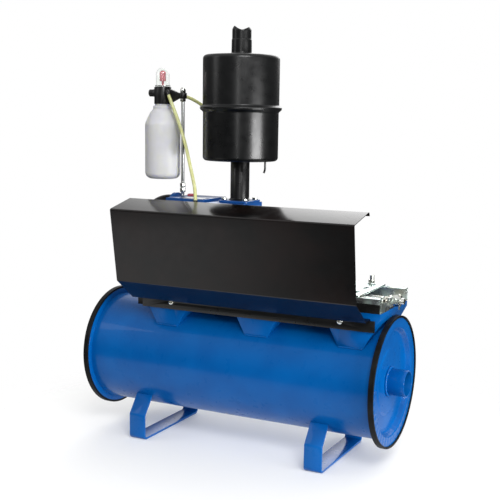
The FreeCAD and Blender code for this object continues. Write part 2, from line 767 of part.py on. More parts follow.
def cross_pin(radius):
    middle = screw_point(nut_start(1) + SCREW_NUT_H / 2)
    return cyl(radius, middle + Z_AXIS * PIN_REACH[0], middle + Z_AXIS * PIN_REACH[1])


def tension_screw():
    """Plain-thread screw with a collar that bears inside the end plate."""
    left = screw_point(LUG_X[0] - PLATE_TRAVEL - 8)
    collar_x = FRAME_RIGHT_X - COLLAR_GAP
    collar = cyl(COLLAR_R, screw_point(collar_x - COLLAR_T), screw_point(collar_x))
    screw = fused([cyl(SCREW_R, left, screw_point(SCREW_TIP_X)), collar])
    return screw.cut(cross_pin(PIN_R + TIGHT_GAP))


def tension_nuts():
    """Two nuts on the screw, the outer one held by a cross pin."""
    pieces = []
    for k in range(2):
        start = screw_point(nut_start(k))
        piece = nut(SCREW_NUT_AF, SCREW_R + TIGHT_GAP, start, start + X_AXIS * SCREW_NUT_H)
        pieces.append(piece.cut(cross_pin(PIN_R + TIGHT_GAP)))
    return group(pieces + [cross_pin(PIN_R)])


# ---- pump ----
def shaft_point(y):
    return V(PUMP_X, y, SHAFT_Z)


def bore_centre(y):
    return V(PUMP_X, y, SHAFT_Z - ECCENTRICITY)


def feet_z():
    return SADDLE_TOP_Z + FRAME_H + PUMP_PLATE_T


def pump_bolt_points():
    top = feet_z() + FOOT_H
    middle = (PUMP_Y[0] + PUMP_Y[1]) / 2
    reach = FOOT_HALF - FOOT_BOLT_INSET
    return [V(PUMP_X + sx * reach, middle + sy * FOOT_BOLT_Y, top)
            for sx in (-1, 1) for sy in (-1, 1)]


def cover_screw_points(y):
    centre = bore_centre(y)
    return [centre + FreeCAD.Rotation(Y_AXIS, 30 + 60 * k).multVec(X_AXIS) * COVER_SCREW_R
            for k in range(6)]


def cooling_ribs():
    """Rings round the case, open at the chambers above and at the feet below."""
    y0, y1 = PUMP_Y
    wide = CASE_R + RIB_H + PAST
    above = box(PUMP_X - wide, PUMP_X + wide, y0, y1, PORT_Z - 60, BLOCK_TOP_Z)
    below = box(PUMP_X - wide, PUMP_X + wide, y0, y1, feet_z() - RIB_H, feet_z() + FOOT_H + 2)
    starts = [y0 + 14 + RIB_PITCH * k for k in range(RIB_COUNT)]
    rings = [pipe(CASE_R + RIB_H, CASE_R - 4, bore_centre(y), bore_centre(y + RIB_T)) for y in starts]
    return [ring.cut(above).cut(below) for ring in rings]


def pump_body():
    """Cast body: bore, cooling ribs, feet, suction chamber left and exhaust chamber right."""
    y0, y1 = PUMP_Y
    near, far = y0 + FOOT_INSET, y1 - FOOT_INSET
    z0 = feet_z()
    case = cyl(CASE_R, bore_centre(y0), bore_centre(y1))
    foot = box(PUMP_X - FOOT_HALF, PUMP_X + FOOT_HALF, near, far, z0, z0 + FOOT_H)
    pedestal = box(PUMP_X - PEDESTAL_HALF, PUMP_X + PEDESTAL_HALF, near, far, z0, bore_centre(0).z)
    chamber_in = box(BLOCK_LEFT_X, PUMP_X - 5, *BLOCK_Y, BLOCK_TOP_Z - SUCTION_CHAMBER_H, BLOCK_TOP_Z)
    chamber_out = box(PUMP_X - 6, BLOCK_RIGHT_X, *BLOCK_Y, OUTLET_TOP_Z - EXHAUST_CHAMBER_H, OUTLET_TOP_Z)
    body = fused([case, foot, pedestal, chamber_in, chamber_out] + cooling_ribs())
    flue = V(EXHAUST_X, EXHAUST_Y, PORT_Z - PASSAGE_R)
    cuts = [cyl(BORE_R, bore_centre(y0 - PAST), bore_centre(y1 + PAST)),
            cyl(INLET_R, V(BLOCK_LEFT_X - PAST, SUCTION_Y, PORT_Z), V(PUMP_X - 36, SUCTION_Y, PORT_Z)),
            cyl(PIPE_R - PIPE_WALL, flue - Z_AXIS * 10, exhaust_point(OUTLET_TOP_Z + PAST)),
            cyl(PASSAGE_R, V(PUMP_X + 40, EXHAUST_Y, SHAFT_Z + 20), flue - Z_AXIS * 4),
            cyl(ROD_R + TIGHT_GAP, V(ROD_X, 0, BLOCK_TOP_Z - 18), V(ROD_X, 0, BLOCK_TOP_Z + PAST))]
    cuts += [cyl(M10_HOLE, p - Z_AXIS * 40, p + Z_AXIS) for p in pump_bolt_points()]
    cuts += [cyl(SPOTFACE_R, p, p + Z_AXIS * 14) for p in pump_bolt_points()]
    cuts += [cyl(COVER_SCREW_SEAT, p, p + Y_AXIS * COVER_SCREW_DEPTH) for p in cover_screw_points(y0)]
    cuts += [cyl(COVER_SCREW_SEAT, p - Y_AXIS * COVER_SCREW_DEPTH, p) for p in cover_screw_points(y1)]
    cuts += [cyl(COVER_SCREW_SEAT, p - Z_AXIS * (FLANGE_BOLT_DEPTH + 2), p)
             for p in flange_bolt_points()]
    return fused([body.cut(group(cuts)), suction_port()])


def pump_cover(y, out, tube_x):
    """Cover on the body's face at y: disc, bearing boss and the boss of an oil inlet."""
    outward = Y_AXIS * out
    face = shaft_point(y)
    disc = cyl(CASE_R, bore_centre(y), bore_centre(y) + outward * COVER_T)
    boss = cyl(BOSS_R, face + outward * COVER_T, face + outward * (COVER_T + BOSS_T))
    oil_axis = V(tube_x, y + out * COVER_T / 2, bore_centre(0).z)
    oil_boss = cyl(OIL_BOSS_R, oil_axis + Z_AXIS * BORE_R, oil_axis + Z_AXIS * (CASE_R + 2))
    cuts = [cyl(BEARING_R, face - outward, face + outward * (BEARING_W + 2))]
    cuts += [cyl(M8_HOLE, p - outward, p + outward * (COVER_T + PAST)) for p in cover_screw_points(y)]
    return fused([disc, boss, oil_boss]).cut(group(cuts)).cut(oil_fittings())


def front_cover():
    """Cover on the pulley side, which the shaft passes through, with a seat for its seal."""
    y = PUMP_Y[0]
    shaft_hole = cyl(SEAT_SHAFT_R + 1, shaft_point(y - COVER_T), shaft_point(y))
    seal_seat = cyl(SHAFT_SEAL_R, shaft_point(y - COVER_T - BOSS_T - PAST), shaft_point(y - COVER_T))
    return pump_cover(y, -1, FRONT_TUBE[-1].x).cut(shaft_hole).cut(seal_seat)


def rear_cover():
    """Closed cover on the far side of the pump."""
    return pump_cover(PUMP_Y[1], 1, REAR_TUBE[-1].x)


def cover_screws():
    """Socket-headed screws of both covers."""
    pieces = []
    for y, out in ((PUMP_Y[0], -1), (PUMP_Y[1], 1)):
        outward = Y_AXIS * out
        for p in cover_screw_points(y):
            seat = p + outward * COVER_T
            top = seat + outward * COVER_SCREW_HEAD
            head = cyl(COVER_SCREW_HEAD_R, seat, top)
            socket = hex_prism(SOCKET_AF, top - outward * 4, top + outward)
            shank = cyl(M8_R, seat + outward, p - outward * (COVER_SCREW_DEPTH - 2))
            pieces.append(fused([head, shank]).cut(socket))
    return group(pieces)


def pump_shaft():
    y0, y1 = PUMP_Y
    steps = [(PULLEY_SHAFT_R, PULLEY_Y[0] + 2, y0 - COVER_T - BOSS_T - 2),
             (BEARING_SHAFT_R, y0 - COVER_T - BOSS_T - 2, y0 - 1),
             (SEAT_SHAFT_R, y0 - 1, y1 + 1),
             (BEARING_SHAFT_R, y1 + 1, y1 + BEARING_W + 1.5)]
    shaft = fused([cyl(r, shaft_point(a), shaft_point(b)) for r, a, b in steps])
    keyway = key_block(0.0)
    thread = cyl(4.02, shaft_point(PULLEY_Y[0]), shaft_point(PULLEY_Y[0] + 24))
    return shaft.cut(group([keyway, thread]))


def key_block(shrink):
    """Parallel key between the shaft and the pulley, drawn in by shrink at each side."""
    y0 = PULLEY_Y[0] + 8
    z0 = SHAFT_Z + PULLEY_SHAFT_R - 4
    half = KEY_HALF - shrink
    return box(PUMP_X - half, PUMP_X + half, y0, y0 + KEY_LENGTH, z0, z0 + KEY_H)


def vane_angles():
    return [45 + 360 * k / VANE_COUNT for k in range(VANE_COUNT)]


def vane_block(angle, thickness, inner, outer, side_gap):
    """Radial slab in the XZ plane; angle is measured from +X towards +Z."""
    y0, y1 = PUMP_Y
    block = box(inner, outer, y0 + side_gap, y1 - side_gap, -thickness / 2, thickness / 2)
    block.rotate(V(0, 0, 0), Y_AXIS, -angle)
    block.translate(shaft_point(0))
    return block


def pump_rotor():
    y0, y1 = PUMP_Y
    rotor = cyl(ROTOR_R, shaft_point(y0 + 0.35), shaft_point(y1 - 0.35))
    rotor = rotor.cut(cyl(SEAT_SHAFT_R, shaft_point(y0), shaft_point(y1)))
    slots = [vane_block(a, VANE_T + 0.7, VANE_ROOT_R - 0.3, ROTOR_R + 5, 0) for a in vane_angles()]
    return rotor.cut(group(slots))


def rotor_vanes():
    """Flat vanes in the rotor's slots, at the rotor's surface."""
    return group([vane_block(angle, VANE_T, VANE_ROOT_R, VANE_TIP_R, 0.4) for angle in vane_angles()])


def shaft_bearings():
    y0, y1 = PUMP_Y
    rings = []
    for a in (y0 - BEARING_W - 1.9, y1 + 1.9):
        b = a + BEARING_W
        outer = pipe(BEARING_R, BEARING_R - 4, shaft_point(a), shaft_point(b))
        inner = pipe(BEARING_SHAFT_R + 4, BEARING_SHAFT_R + RUNNING, shaft_point(a), shaft_point(b))
        cage = pipe(BEARING_R - 4, BEARING_SHAFT_R + 4, shaft_point(a + 2), shaft_point(b - 2))
        rings.append(fused([outer, inner, cage]))
    return group(rings)


def shaft_seal():
    y = PUMP_Y[0] - COVER_T
    return pipe(SHAFT_SEAL_R, BEARING_SHAFT_R + RUNNING, shaft_point(y - BOSS_T + 1), shaft_point(y - 0.5))


def pulley():
    """Three-groove V-belt pulley with a web and a keyed hub."""
    y0, y1 = PULLEY_Y
    rim = pipe(PULLEY_R, PULLEY_R - PULLEY_RIM, shaft_point(y0), shaft_point(y1))
    web = cyl(PULLEY_R - PULLEY_RIM + 2, shaft_point(y0 + 20), shaft_point(y0 + 20 + PULLEY_WEB_T))
    hub = cyl(PULLEY_HUB_R, shaft_point(y0 + 4), shaft_point(y1 - 2))
    wheel = fused([rim, web, hub])
    middle = (y0 + y1) / 2
    for k in range(GROOVES):
        y = middle + (k - (GROOVES - 1) / 2) * GROOVE_PITCH
        top = shaft_point(y) + Z_AXIS * (PULLEY_R + PAST)
        foot = shaft_point(y) + Z_AXIS * (PULLEY_R - GROOVE_DEPTH)
        wide = Y_AXIS * GROOVE_TOP_HALF
        narrow = Y_AXIS * GROOVE_FOOT_HALF
        outline = [top - wide, foot - narrow, foot + narrow, top + wide]
        wheel = wheel.cut(turned(outline, shaft_point(0), Y_AXIS))
    for k in range(WEB_HOLES):
        arm = FreeCAD.Rotation(Y_AXIS, 45 + 360 / WEB_HOLES * k).multVec(X_AXIS) * WEB_HOLE_CIRCLE
        wheel = wheel.cut(cyl(WEB_HOLE_R, shaft_point(y0) + arm, shaft_point(y1) + arm))
    bore = cyl(PULLEY_SHAFT_R, shaft_point(y0), shaft_point(y1))
    return wheel.cut(bore).cut(key_block(0.0))


def pulley_screw():
    """Screw and washer that hold the pulley on the shaft's end."""
    washer_back = shaft_point(PULLEY_Y[0] + 2)
    washer_face = washer_back - Y_AXIS * 3
    washer = pipe(17, M8_R + 0.2, washer_face, washer_back)
    return group([washer, bolt(M8_R, M8_AF, M8_HEAD, washer_face, Y_AXIS * -1, 23)])


def pump_bolts():
    """Foot bolts of the pump and the bolts of the exhaust flange."""
    pieces = []
    grip = FOOT_H + PUMP_PLATE_T
    for p in pump_bolt_points():
        foot = p - Z_AXIS * grip
        pieces.append(bolt(M10_R, M10_AF, M10_HEAD, p, Z_AXIS, grip + 12))
        pieces.append(nut(M10_AF, M10_R + THREAD_GAP, foot - Z_AXIS * M10_NUT, foot))
    for p in flange_bolt_points():
        seat = p + Z_AXIS * FLANGE_T
        pieces.append(bolt(M8_R, M8_AF, M8_HEAD, seat, Z_AXIS, FLANGE_T + FLANGE_BOLT_DEPTH))
    return group(pieces)


def data_plate():
    """Blank plate on top of the suction chamber."""
    z = BLOCK_TOP_Z
    return box(*DATA_PLATE_X, *DATA_PLATE_Y, z, z + 1.2)


# ---- suction side ----
def suction_elbow():
    """Rubber elbow from the pump's suction port down to the check valve."""
    port = V(BLOCK_LEFT_X, SUCTION_Y, PORT_Z)
    points = [port - X_AXIS * PORT_FLANGE_T, V(SUCTION_X, SUCTION_Y, PORT_Z),
              V(SUCTION_X, SUCTION_Y, VALVE_Z[1] + 4)]
    wire = Part.Wire(rounded_path(points, [ELBOW_BEND]))
    outer = Part.Wire(Part.makeCircle(ELBOW_R, points[0], X_AXIS * -1))
    inner = Part.Wire(Part.makeCircle(SUCTION_PIPE_R + 0.1, points[0], X_AXIS * -1))
    hose = wire.makePipeShell([outer], True, True).cut(wire.makePipeShell([inner], True, True))
    return hose


def suction_port():
    """Flanged spigot on the pump that the elbow slips over."""
    port = V(BLOCK_LEFT_X, SUCTION_Y, PORT_Z)
    flange = cyl(PORT_FLANGE_R, port, port - X_AXIS * PORT_FLANGE_T)
    spigot = cyl(SUCTION_PIPE_R, port - X_AXIS * (PORT_FLANGE_T - PAST), port - X_AXIS * 19)
    bore = cyl(SUCTION_PIPE_R - SUCTION_PIPE_WALL, port + X_AXIS, port - X_AXIS * 31)
    return fused([flange, spigot]).cut(bore)


def valve_point(z):
    return V(SUCTION_X, SUCTION_Y, z)


def check_valve_body():
    z0, z1 = VALVE_Z
    shell = cyl(VALVE_R, valve_point(z0), valve_point(z1))
    spigot = cyl(SUCTION_PIPE_R, valve_point(z1 - 1), valve_point(VALVE_SPIGOT_TOP))
    throat = cyl(20, valve_point(z0 - 1), valve_point(VALVE_SPIGOT_TOP + 1))
    chamber = cyl(VALVE_R - 5, valve_point(z0 + 12), valve_point(z1 - 8))
    body = fused([shell, spigot]).cut(throat).cut(chamber)
    spider = box(SUCTION_X - VALVE_R + 4, SUCTION_X + VALVE_R - 4, SUCTION_Y - 6, SUCTION_Y + 6,
                 z1 - 16, z1 - 8)
    guide = spider.cut(cyl(3.05, valve_point(z1 - 20), valve_point(z1)))
    return fused([body, guide])


def valve_disc():
    seat = VALVE_Z[0] + 12.3
    plate = cyl(VALVE_R - 8, valve_point(seat), valve_point(seat + 4))
    stem = cyl(3.0, valve_point(seat + 3), valve_point(VALVE_Z[1] - 2))
    return fused([plate, stem])


def flush_plug():
    """Red plug of the flushing hole in the suction chamber."""
    foot = V(PLUG_X, PLUG_Y, BLOCK_TOP_Z)
    crown = foot + Z_AXIS * 4
    return fused([hex_prism(17, foot, crown), cyl(7.0, crown - Z_AXIS, crown + Z_AXIS * 1.5)])


# ---- exhaust and silencer ----
def exhaust_point(z):
    return V(EXHAUST_X, EXHAUST_Y, z)


def flange_bolt_points():
    return [V(EXHAUST_X + sx * FLANGE_BOLT, EXHAUST_Y + sy * FLANGE_BOLT, OUTLET_TOP_Z)
            for sx in (-1, 1) for sy in (-1, 1)]


def exhaust_flange():
    """Square plate bolted over the exhaust chamber, which the pipe is welded into."""
    z = OUTLET_TOP_Z
    h = FLANGE_HALF
    plate = box(EXHAUST_X - h, EXHAUST_X + h, EXHAUST_Y - h, EXHAUST_Y + h, z, z + FLANGE_T)
    plate = plate.makeFillet(FLANGE_CORNER_R, upright_edges(plate))
    holes = [cyl(M8_HOLE, p - Z_AXIS, p + Z_AXIS * (FLANGE_T + PAST)) for p in flange_bolt_points()]
    bore = cyl(PIPE_R + TIGHT_GAP, exhaust_point(z - PAST), exhaust_point(z + FLANGE_T + PAST))
    return plate.cut(group(holes)).cut(bore)


def exhaust_pipe():
    z = OUTLET_TOP_Z
    weld_z = z + FLANGE_T
    tube = cyl(PIPE_R, exhaust_point(z), exhaust_point(SILENCER_Z[0]))
    weld = Part.makeCone(PIPE_R + WELD, PIPE_R, WELD, exhaust_point(weld_z))
    bore = cyl(PIPE_R - PIPE_WALL, exhaust_point(z - 1), exhaust_point(SILENCER_Z[0] + 1))
    return fused([tube, weld]).cut(bore)


def silencer_profile(upper):
    """Outside of one half shell in the XZ plane, from the pipe to the rolled seam."""
    seam = (SILENCER_Z[0] + SILENCER_Z[1]) / 2
    z0, s = (SILENCER_Z[1], -1) if upper else (SILENCER_Z[0], 1)
    near = seam - s * BEAD_H / 2
    return [V(PIPE_R, 0, z0), V(SILENCER_R, 0, z0), V(SILENCER_R, 0, near),
            V(BEAD_R, 0, seam - s * BEAD_CREST), V(BEAD_R, 0, seam - s * 0.1)]


def silencer_half(upper):
    normal = Y_AXIS if upper else Y_AXIS * -1
    points = silencer_profile(upper)
    face = folded(points, SILENCER_SHEET, 3.0, normal)
    shell = face.revolve(V(0, 0, 0), Z_AXIS, 360)
    shell.translate(V(EXHAUST_X, EXHAUST_Y, 0))
    return shell


def silencer_lower():
    shell = silencer_half(False)
    z = SILENCER_Z[0]
    foot = V(EXHAUST_X + DRAIN_OFFSET, EXHAUST_Y, z)
    bend = foot - Z_AXIS * (DRAIN_DROP - 9)
    points = [foot + Z_AXIS, bend, foot - Z_AXIS * DRAIN_DROP - X_AXIS * 3]
    wire = Part.Wire(rounded_path(points, [8.0]))
    drain = wire.makePipeShell([Part.Wire(Part.makeCircle(DRAIN_R, points[0], Z_AXIS))], True, True)
    return fused([shell, drain])


def tail_pipe():
    """Short pipe with a sleeve, through the upper shell; its mouth is cut out front and back."""
    z0, z1 = SILENCER_Z[1], TAIL_TOP_Z
    tail = pipe(PIPE_R, PIPE_R - PIPE_WALL, exhaust_point(z0 - TAIL_DEPTH), exhaust_point(z1))
    sleeve = pipe(PIPE_R + SLEEVE_T, PIPE_R - 0.2, exhaust_point(z0), exhaust_point(z1 - SLEEVE_DROP))
    cut_axis = exhaust_point(z1 + 7)
    across = Y_AXIS * (PIPE_R * 3)
    mouth = cyl(PIPE_R * MOUTH_SHARE, cut_axis - across, cut_axis + across)
    mouth.rotate(exhaust_point(z1), Z_AXIS, MOUTH_TURN)
    return fused([tail.cut(mouth), sleeve])


def silencer_core():
    """Perforated tube inside the silencer."""
    z0, z1 = SILENCER_Z[0] + 4, SILENCER_Z[1] - 34
    core = pipe(PIPE_R - 0.5, PIPE_R - 2, exhaust_point(z0), exhaust_point(z1))
    holes = []
    for row in range(CORE_ROWS):
        z = z0 + CORE_ROW_START + row * CORE_ROW_PITCH
        for k in range(3):
            turn = 60 * k + 30 * (row % 2)
            arm = FreeCAD.Rotation(Z_AXIS, turn).multVec(X_AXIS) * (PIPE_R + 8)
            holes.append(cyl(CORE_HOLE_R, exhaust_point(z) - arm, exhaust_point(z) + arm))
    return core.cut(fused(holes))


# ---- oiler ----
def head_point(z):
    return V(BOTTLE_X, 0, z)


def oiler_rod():
    return cyl(ROD_R, V(ROD_X, 0, BLOCK_TOP_Z - 16), V(ROD_X, 0, EYE_Z[1] + 6))


def oiler_hardware():
    """Nuts of the rod, the acorn nut that clamps the oiler's arm, and the sight dome's ring."""
    nuts = [(z, z + ROD_NUT_H) for z in ROD_NUT_Z] + [(EYE_Z[0] - M8_NUT, EYE_Z[0])]
    bore = ROD_R + TIGHT_GAP
    pieces = [nut(M8_AF, bore, V(ROD_X, 0, z0), V(ROD_X, 0, z1)) for z0, z1 in nuts]
    base = V(ROD_X, 0, EYE_Z[1])
    acorn = hex_prism(M8_AF, base, base + Z_AXIS * ACORN_H)
    dome = Part.makeSphere(ACORN_DOME_R, base + Z_AXIS * (ACORN_H + 0.5))
    thread = cyl(bore, base, base + Z_AXIS * 6.2)
    pieces.append(fused([acorn, dome]).cut(thread))
    return group(pieces + [sight_ring()])


def oiler_head():
    """Moulded head: socket for the bottle, arm to the rod and bosses for the fittings."""
    z0, z1 = HEAD_Z
    drum = cyl(HEAD_R, head_point(z0), head_point(z1))
    flange = cyl(HEAD_R - 2, head_point(z1 - 1), head_point(z1 + 1.5))
    side = [V(BOTTLE_X + 14, -5, z1 - 1), V(ROD_X - 9, -5, EYE_Z[1]), V(ROD_X, -5, EYE_Z[1]),
            V(ROD_X, -5, EYE_Z[0] + 2), V(ROD_X - 12, -5, EYE_Z[0]), V(BOTTLE_X + 26, -5, z0 + 4),
            V(BOTTLE_X + 14, -5, z0 + 2)]
    arm = Part.Face(Part.makePolygon(side + side[:1])).extrude(Y_AXIS * 10)
    eye = cyl(EYE_R, V(ROD_X, 0, EYE_Z[0]), V(ROD_X, 0, EYE_Z[1]))
    knob_boss = cyl(9.0, V(BOTTLE_X - 15, 0, KNOB_Z), V(BOTTLE_X - 25, 0, KNOB_Z))
    head = fused([drum, flange, arm, eye, knob_boss])
    cuts = [cyl(BOTTLE_NECK_R + 0.5, head_point(z0 - 1), head_point(z0 + 15)),
            cyl(ROD_R + 0.1, V(ROD_X, 0, z0 - 10), V(ROD_X, 0, z1 + 10)),
            cyl(3.1, V(BOTTLE_X - 26, 0, KNOB_Z), V(BOTTLE_X - 4, 0, KNOB_Z)),
            cyl(3.02, head_point(z0), head_point(z0 + 22))]
    return head.cut(group(cuts)).cut(oil_fittings())


def feed_knob():
    """Drip adjusting knob with its needle, on the left of the head."""
    start = V(BOTTLE_X - HEAD_R - 5, 0, KNOB_Z)
    knob = cyl(KNOB_R, start, start - X_AXIS * KNOB_T)
    grooves = []
    for k in range(KNOB_GROOVES):
        arm = FreeCAD.Rotation(X_AXIS, 360 / KNOB_GROOVES * k).multVec(Z_AXIS) * (KNOB_R + 0.6)
        grooves.append(cyl(KNOB_GROOVE_R, start + arm + X_AXIS, start + arm - X_AXIS * (KNOB_T + PAST)))
    needle = cyl(NEEDLE_R, start - X_AXIS, start + X_AXIS * 16)
    return fused([knob.cut(group(grooves)), needle])


def sight_dome():
    z0 = HEAD_Z[1] + 1.6
    straight = DOME_TOP_Z - DOME_R
    outer = fused([cyl(DOME_R, head_point(z0), head_point(straight)),
                   Part.makeSphere(DOME_R, head_point(straight)),
                   cyl(DOME_R + 2.0, head_point(z0), head_point(z0 + 1.6))])
    inner = fused([cyl(DOME_R - 2, head_point(z0 - 1), head_point(straight)),
                   Part.makeSphere(DOME_R - 2, head_point(straight))])
    return outer.cut(inner)


def sight_ring():
    """Bright ring that holds the sight dome down."""
    z0 = HEAD_Z[1] + 3.3
    return pipe(DOME_R + 2.2, DOME_R + 0.1, head_point(z0), head_point(z0 + 1.4))


def drip_guide():
    """Sight element high in the dome, on a thin stalk."""
    z0 = HEAD_Z[1] + 1.6
    body = cyl(DRIP_R, head_point(DRIP_Z[0]), head_point(DRIP_Z[1] - 4))
    nose = Part.makeCone(DRIP_R, 4.0, 4, head_point(DRIP_Z[1] - 4))
    stalk = cyl(3.0, head_point(z0), head_point(DRIP_Z[0] + 1))
    return fused([body, nose, stalk])


def bottle_outline(inset):
    """Half outline of the bottle in the XZ plane, from the bottom centre to the neck."""
    r, z0, z1 = BOTTLE_R - inset, BOTTLE_Z[0] + inset, BOTTLE_Z[1]
    neck = BOTTLE_NECK_R - inset
    top = z1 + 13
    heel_r, heel_h = BOTTLE_HEEL
    p = [V(0, 0, z0), V(heel_r, 0, z0), V(r, 0, z0 + heel_h), V(r, 0, z1 - 60), V(neck + 4, 0, z1 - 12),
         V(neck + 4, 0, z1 - 6), V(neck, 0, z1 - 4), V(neck, 0, top), V(0, 0, top)]
    bulge = V(heel_r + (r - heel_r) * 0.72, 0, z0 + heel_h * 0.3)
    heel = Part.Arc(p[1], bulge, p[2]).toShape()
    shoulder = Part.Arc(p[3], V(r - 5.6, 0, z1 - 37.5), p[4]).toShape()
    lines = [(p[0], p[1]), (p[2], p[3]), (p[4], p[5]), (p[5], p[6]), (p[6], p[7]),
             (p[7], p[8]), (p[8], p[0])]
    straight = [Part.LineSegment(a, b).toShape() for a, b in lines]
    edges = [straight[0], heel, straight[1], shoulder] + straight[2:]
    return Part.Face(Part.Wire(edges))


def oil_bottle():
    outer = bottle_outline(0.0).revolve(V(0, 0, 0), Z_AXIS, 360)
    inner = bottle_outline(BOTTLE_WALL).revolve(V(0, 0, 0), Z_AXIS, 360)
    mouth = cyl(BOTTLE_NECK_R - BOTTLE_WALL, V(0, 0, BOTTLE_Z[1]), V(0, 0, BOTTLE_Z[1] + 20))
    bottle = outer.cut(inner).cut(mouth)
    bottle.translate(V(BOTTLE_X, 0, 0))
    return bottle


def dip_tube():
    return pipe(3.0, 2.0, head_point(BOTTLE_Z[0] + 10), head_point(HEAD_Z[0] + 20))


def tube_fitting(end, toward, anchor):
    """Elbow: a collar that the tube pushes into, then a nipple to the anchor."""
    corner = end + (end - toward).normalize() * FITTING_REACH
    return fused([cyl(5.2, end, corner), Part.makeSphere(4.8, corner), cyl(4.4, corner, anchor)])


def oil_fittings():
    pieces = []
    for route in (FRONT_TUBE, REAR_TUBE):
        out = route[0] - head_point(route[0].z)
        out.normalize()
        lift = (route[0] - route[1]).normalize().z * FITTING_REACH
        seat = HEAD_R - 0.2
        inner = V(BOTTLE_X + out.x * seat, out.y * seat, route[0].z + lift)
        pieces.append(tube_fitting(route[0], route[1], inner))
    top = bore_centre(0).z + CASE_R + 2
    for route in (FRONT_TUBE, REAR_TUBE):
        end = route[-1]
        direction = (end - route[-2]).normalize()
        collar = cyl(5.5, end, end + direction * 4)
        stem = cyl(4.5, end + direction * 3.5, V(end.x, end.y, top))
        pieces.append(fused([collar, stem]))
    return group(pieces)


PARTS = {
    "tank_shell": tank_shell,
    "end_cover_left": end_cover_left,
    "end_cover_right": end_cover_right,
    "seal_ring_left": lambda: seal_ring(-1),
    "seal_ring_right": lambda: seal_ring(1),
    "leg_left": lambda: leg(-LEG_X),
    "leg_right": lambda: leg(LEG_X),
    "saddle_left": lambda: saddle(SADDLE_X[0]),
    "saddle_middle": lambda: saddle(SADDLE_X[1]),
    "saddle_right": lambda: saddle(SADDLE_X[2]),
    "base_frame": base_frame,
    "pump_plate": pump_plate,
    "frame_fasteners": frame_fasteners,
    "belt_guard": belt_guard,
    "guard_bar": guard_bar,
    "guard_stays": guard_stays,
    "slide_rail_front": lambda: rail(True),
    "slide_rail_rear": lambda: rail(False),
    "end_plate": end_plate,
    "motor_plate": motor_plate,
    "plate_clamps": plate_clamps,
    "tension_screw": tension_screw,
    "tension_nuts": tension_nuts,
    "pump_body": pump_body,
    "front_cover": front_cover,
    "rear_cover": rear_cover,
    "cover_screws": cover_screws,
    "pump_shaft": pump_shaft,
    "pump_rotor": pump_rotor,
    "rotor_vanes": rotor_vanes,
    "shaft_bearings": shaft_bearings,
    "shaft_seal": shaft_seal,
    "pulley": pulley,
    "pulley_key": lambda: key_block(0.05),
    "pulley_screw": pulley_screw,
    "pump_bolts": pump_bolts,
    "data_plate": data_plate,
    "suction_elbow": suction_elbow,
    "check_valve_body": check_valve_body,
    "valve_disc": valve_disc,
    "flush_plug": flush_plug,
    "exhaust_flange": exhaust_flange,
    "exhaust_pipe": exhaust_pipe,
    "silencer_lower": silencer_lower,
    "silencer_upper": lambda: silencer_half(True),
    "tail_pipe": tail_pipe,
    "silencer_core": silencer_core,
    "oiler_rod": oiler_rod,
    "oiler_hardware": oiler_hardware,
    "oiler_head": oiler_head,
    "feed_knob": feed_knob,
    "sight_dome": sight_dome,
    "drip_guide": drip_guide,
    "oil_bottle": oil_bottle,
    "dip_tube": dip_tube,
    "oil_fittings": oil_fittings,
    "oil_tube_front": lambda: cord_tube("front tube", FRONT_TUBE, OIL_TUBE_R),
    "oil_tube_rear": lambda: cord_tube("rear tube", REAR_TUBE, OIL_TUBE_R),
}
os.makedirs("parts", exist_ok=True)
shapes = {name: make() for name, make in PARTS.items()}
hull = FreeCAD.BoundBox()
for shape in shapes.values():
    hull.add(shape.BoundBox)
# The stored frame stands on the floor under the middle of the whole set's outline.
shift = V(-(hull.XMin + hull.XMax) / 2, -(hull.YMin + hull.YMax) / 2, -hull.ZMin)
for name, shape in shapes.items():
    if not shape.isValid() or shape.Volume <= 0:
        print("bad solid:", name, shape.isValid(), shape.Volume)
    moved = shape.copy()
    moved.translate(shift)
    moved.exportStep("parts/%s.step" % name)
print("nodes", len(shapes), "shift", [round(value, 3) for value in shift])
print("size", [round(v, 1) for v in (hull.XLength, hull.YLength, hull.ZLength)])
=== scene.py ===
# The looks of a belt-driven vane vacuum pump set on its reserve tank.
# Lengths in the classes are millimetres; meshes are built in metres in the frame's own axes.

import json
import logging
import math
from dataclasses import dataclass
from enum import Enum
from typing import Callable, Iterable, Sequence

import bmesh
import bpy
from mathutils import Matrix, Vector, noise


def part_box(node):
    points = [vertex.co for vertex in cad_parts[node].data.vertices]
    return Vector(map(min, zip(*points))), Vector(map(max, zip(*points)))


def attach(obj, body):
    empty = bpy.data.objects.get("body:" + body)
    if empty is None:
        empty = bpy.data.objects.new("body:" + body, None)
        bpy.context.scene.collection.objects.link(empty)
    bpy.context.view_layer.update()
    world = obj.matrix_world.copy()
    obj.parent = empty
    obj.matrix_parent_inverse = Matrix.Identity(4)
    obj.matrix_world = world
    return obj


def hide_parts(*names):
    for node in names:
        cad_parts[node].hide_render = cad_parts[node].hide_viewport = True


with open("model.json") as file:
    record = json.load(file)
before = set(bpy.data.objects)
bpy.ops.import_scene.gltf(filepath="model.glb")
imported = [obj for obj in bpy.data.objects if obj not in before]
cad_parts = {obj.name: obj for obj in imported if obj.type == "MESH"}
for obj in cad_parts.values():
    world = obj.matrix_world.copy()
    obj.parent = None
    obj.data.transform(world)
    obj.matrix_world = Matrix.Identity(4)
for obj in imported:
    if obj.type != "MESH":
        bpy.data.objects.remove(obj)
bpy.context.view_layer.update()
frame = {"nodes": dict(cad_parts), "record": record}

MM = 0.001
SHARP_DEGREES = 32.0
LOG = logging.getLogger("pump_set")

Point = tuple[float, float]
Place = tuple[float, float, float]


class Axis(Enum):
    """A direction of the frame that a turned piece is turned about."""

    X = 0
    Y = 1
    Z = 2


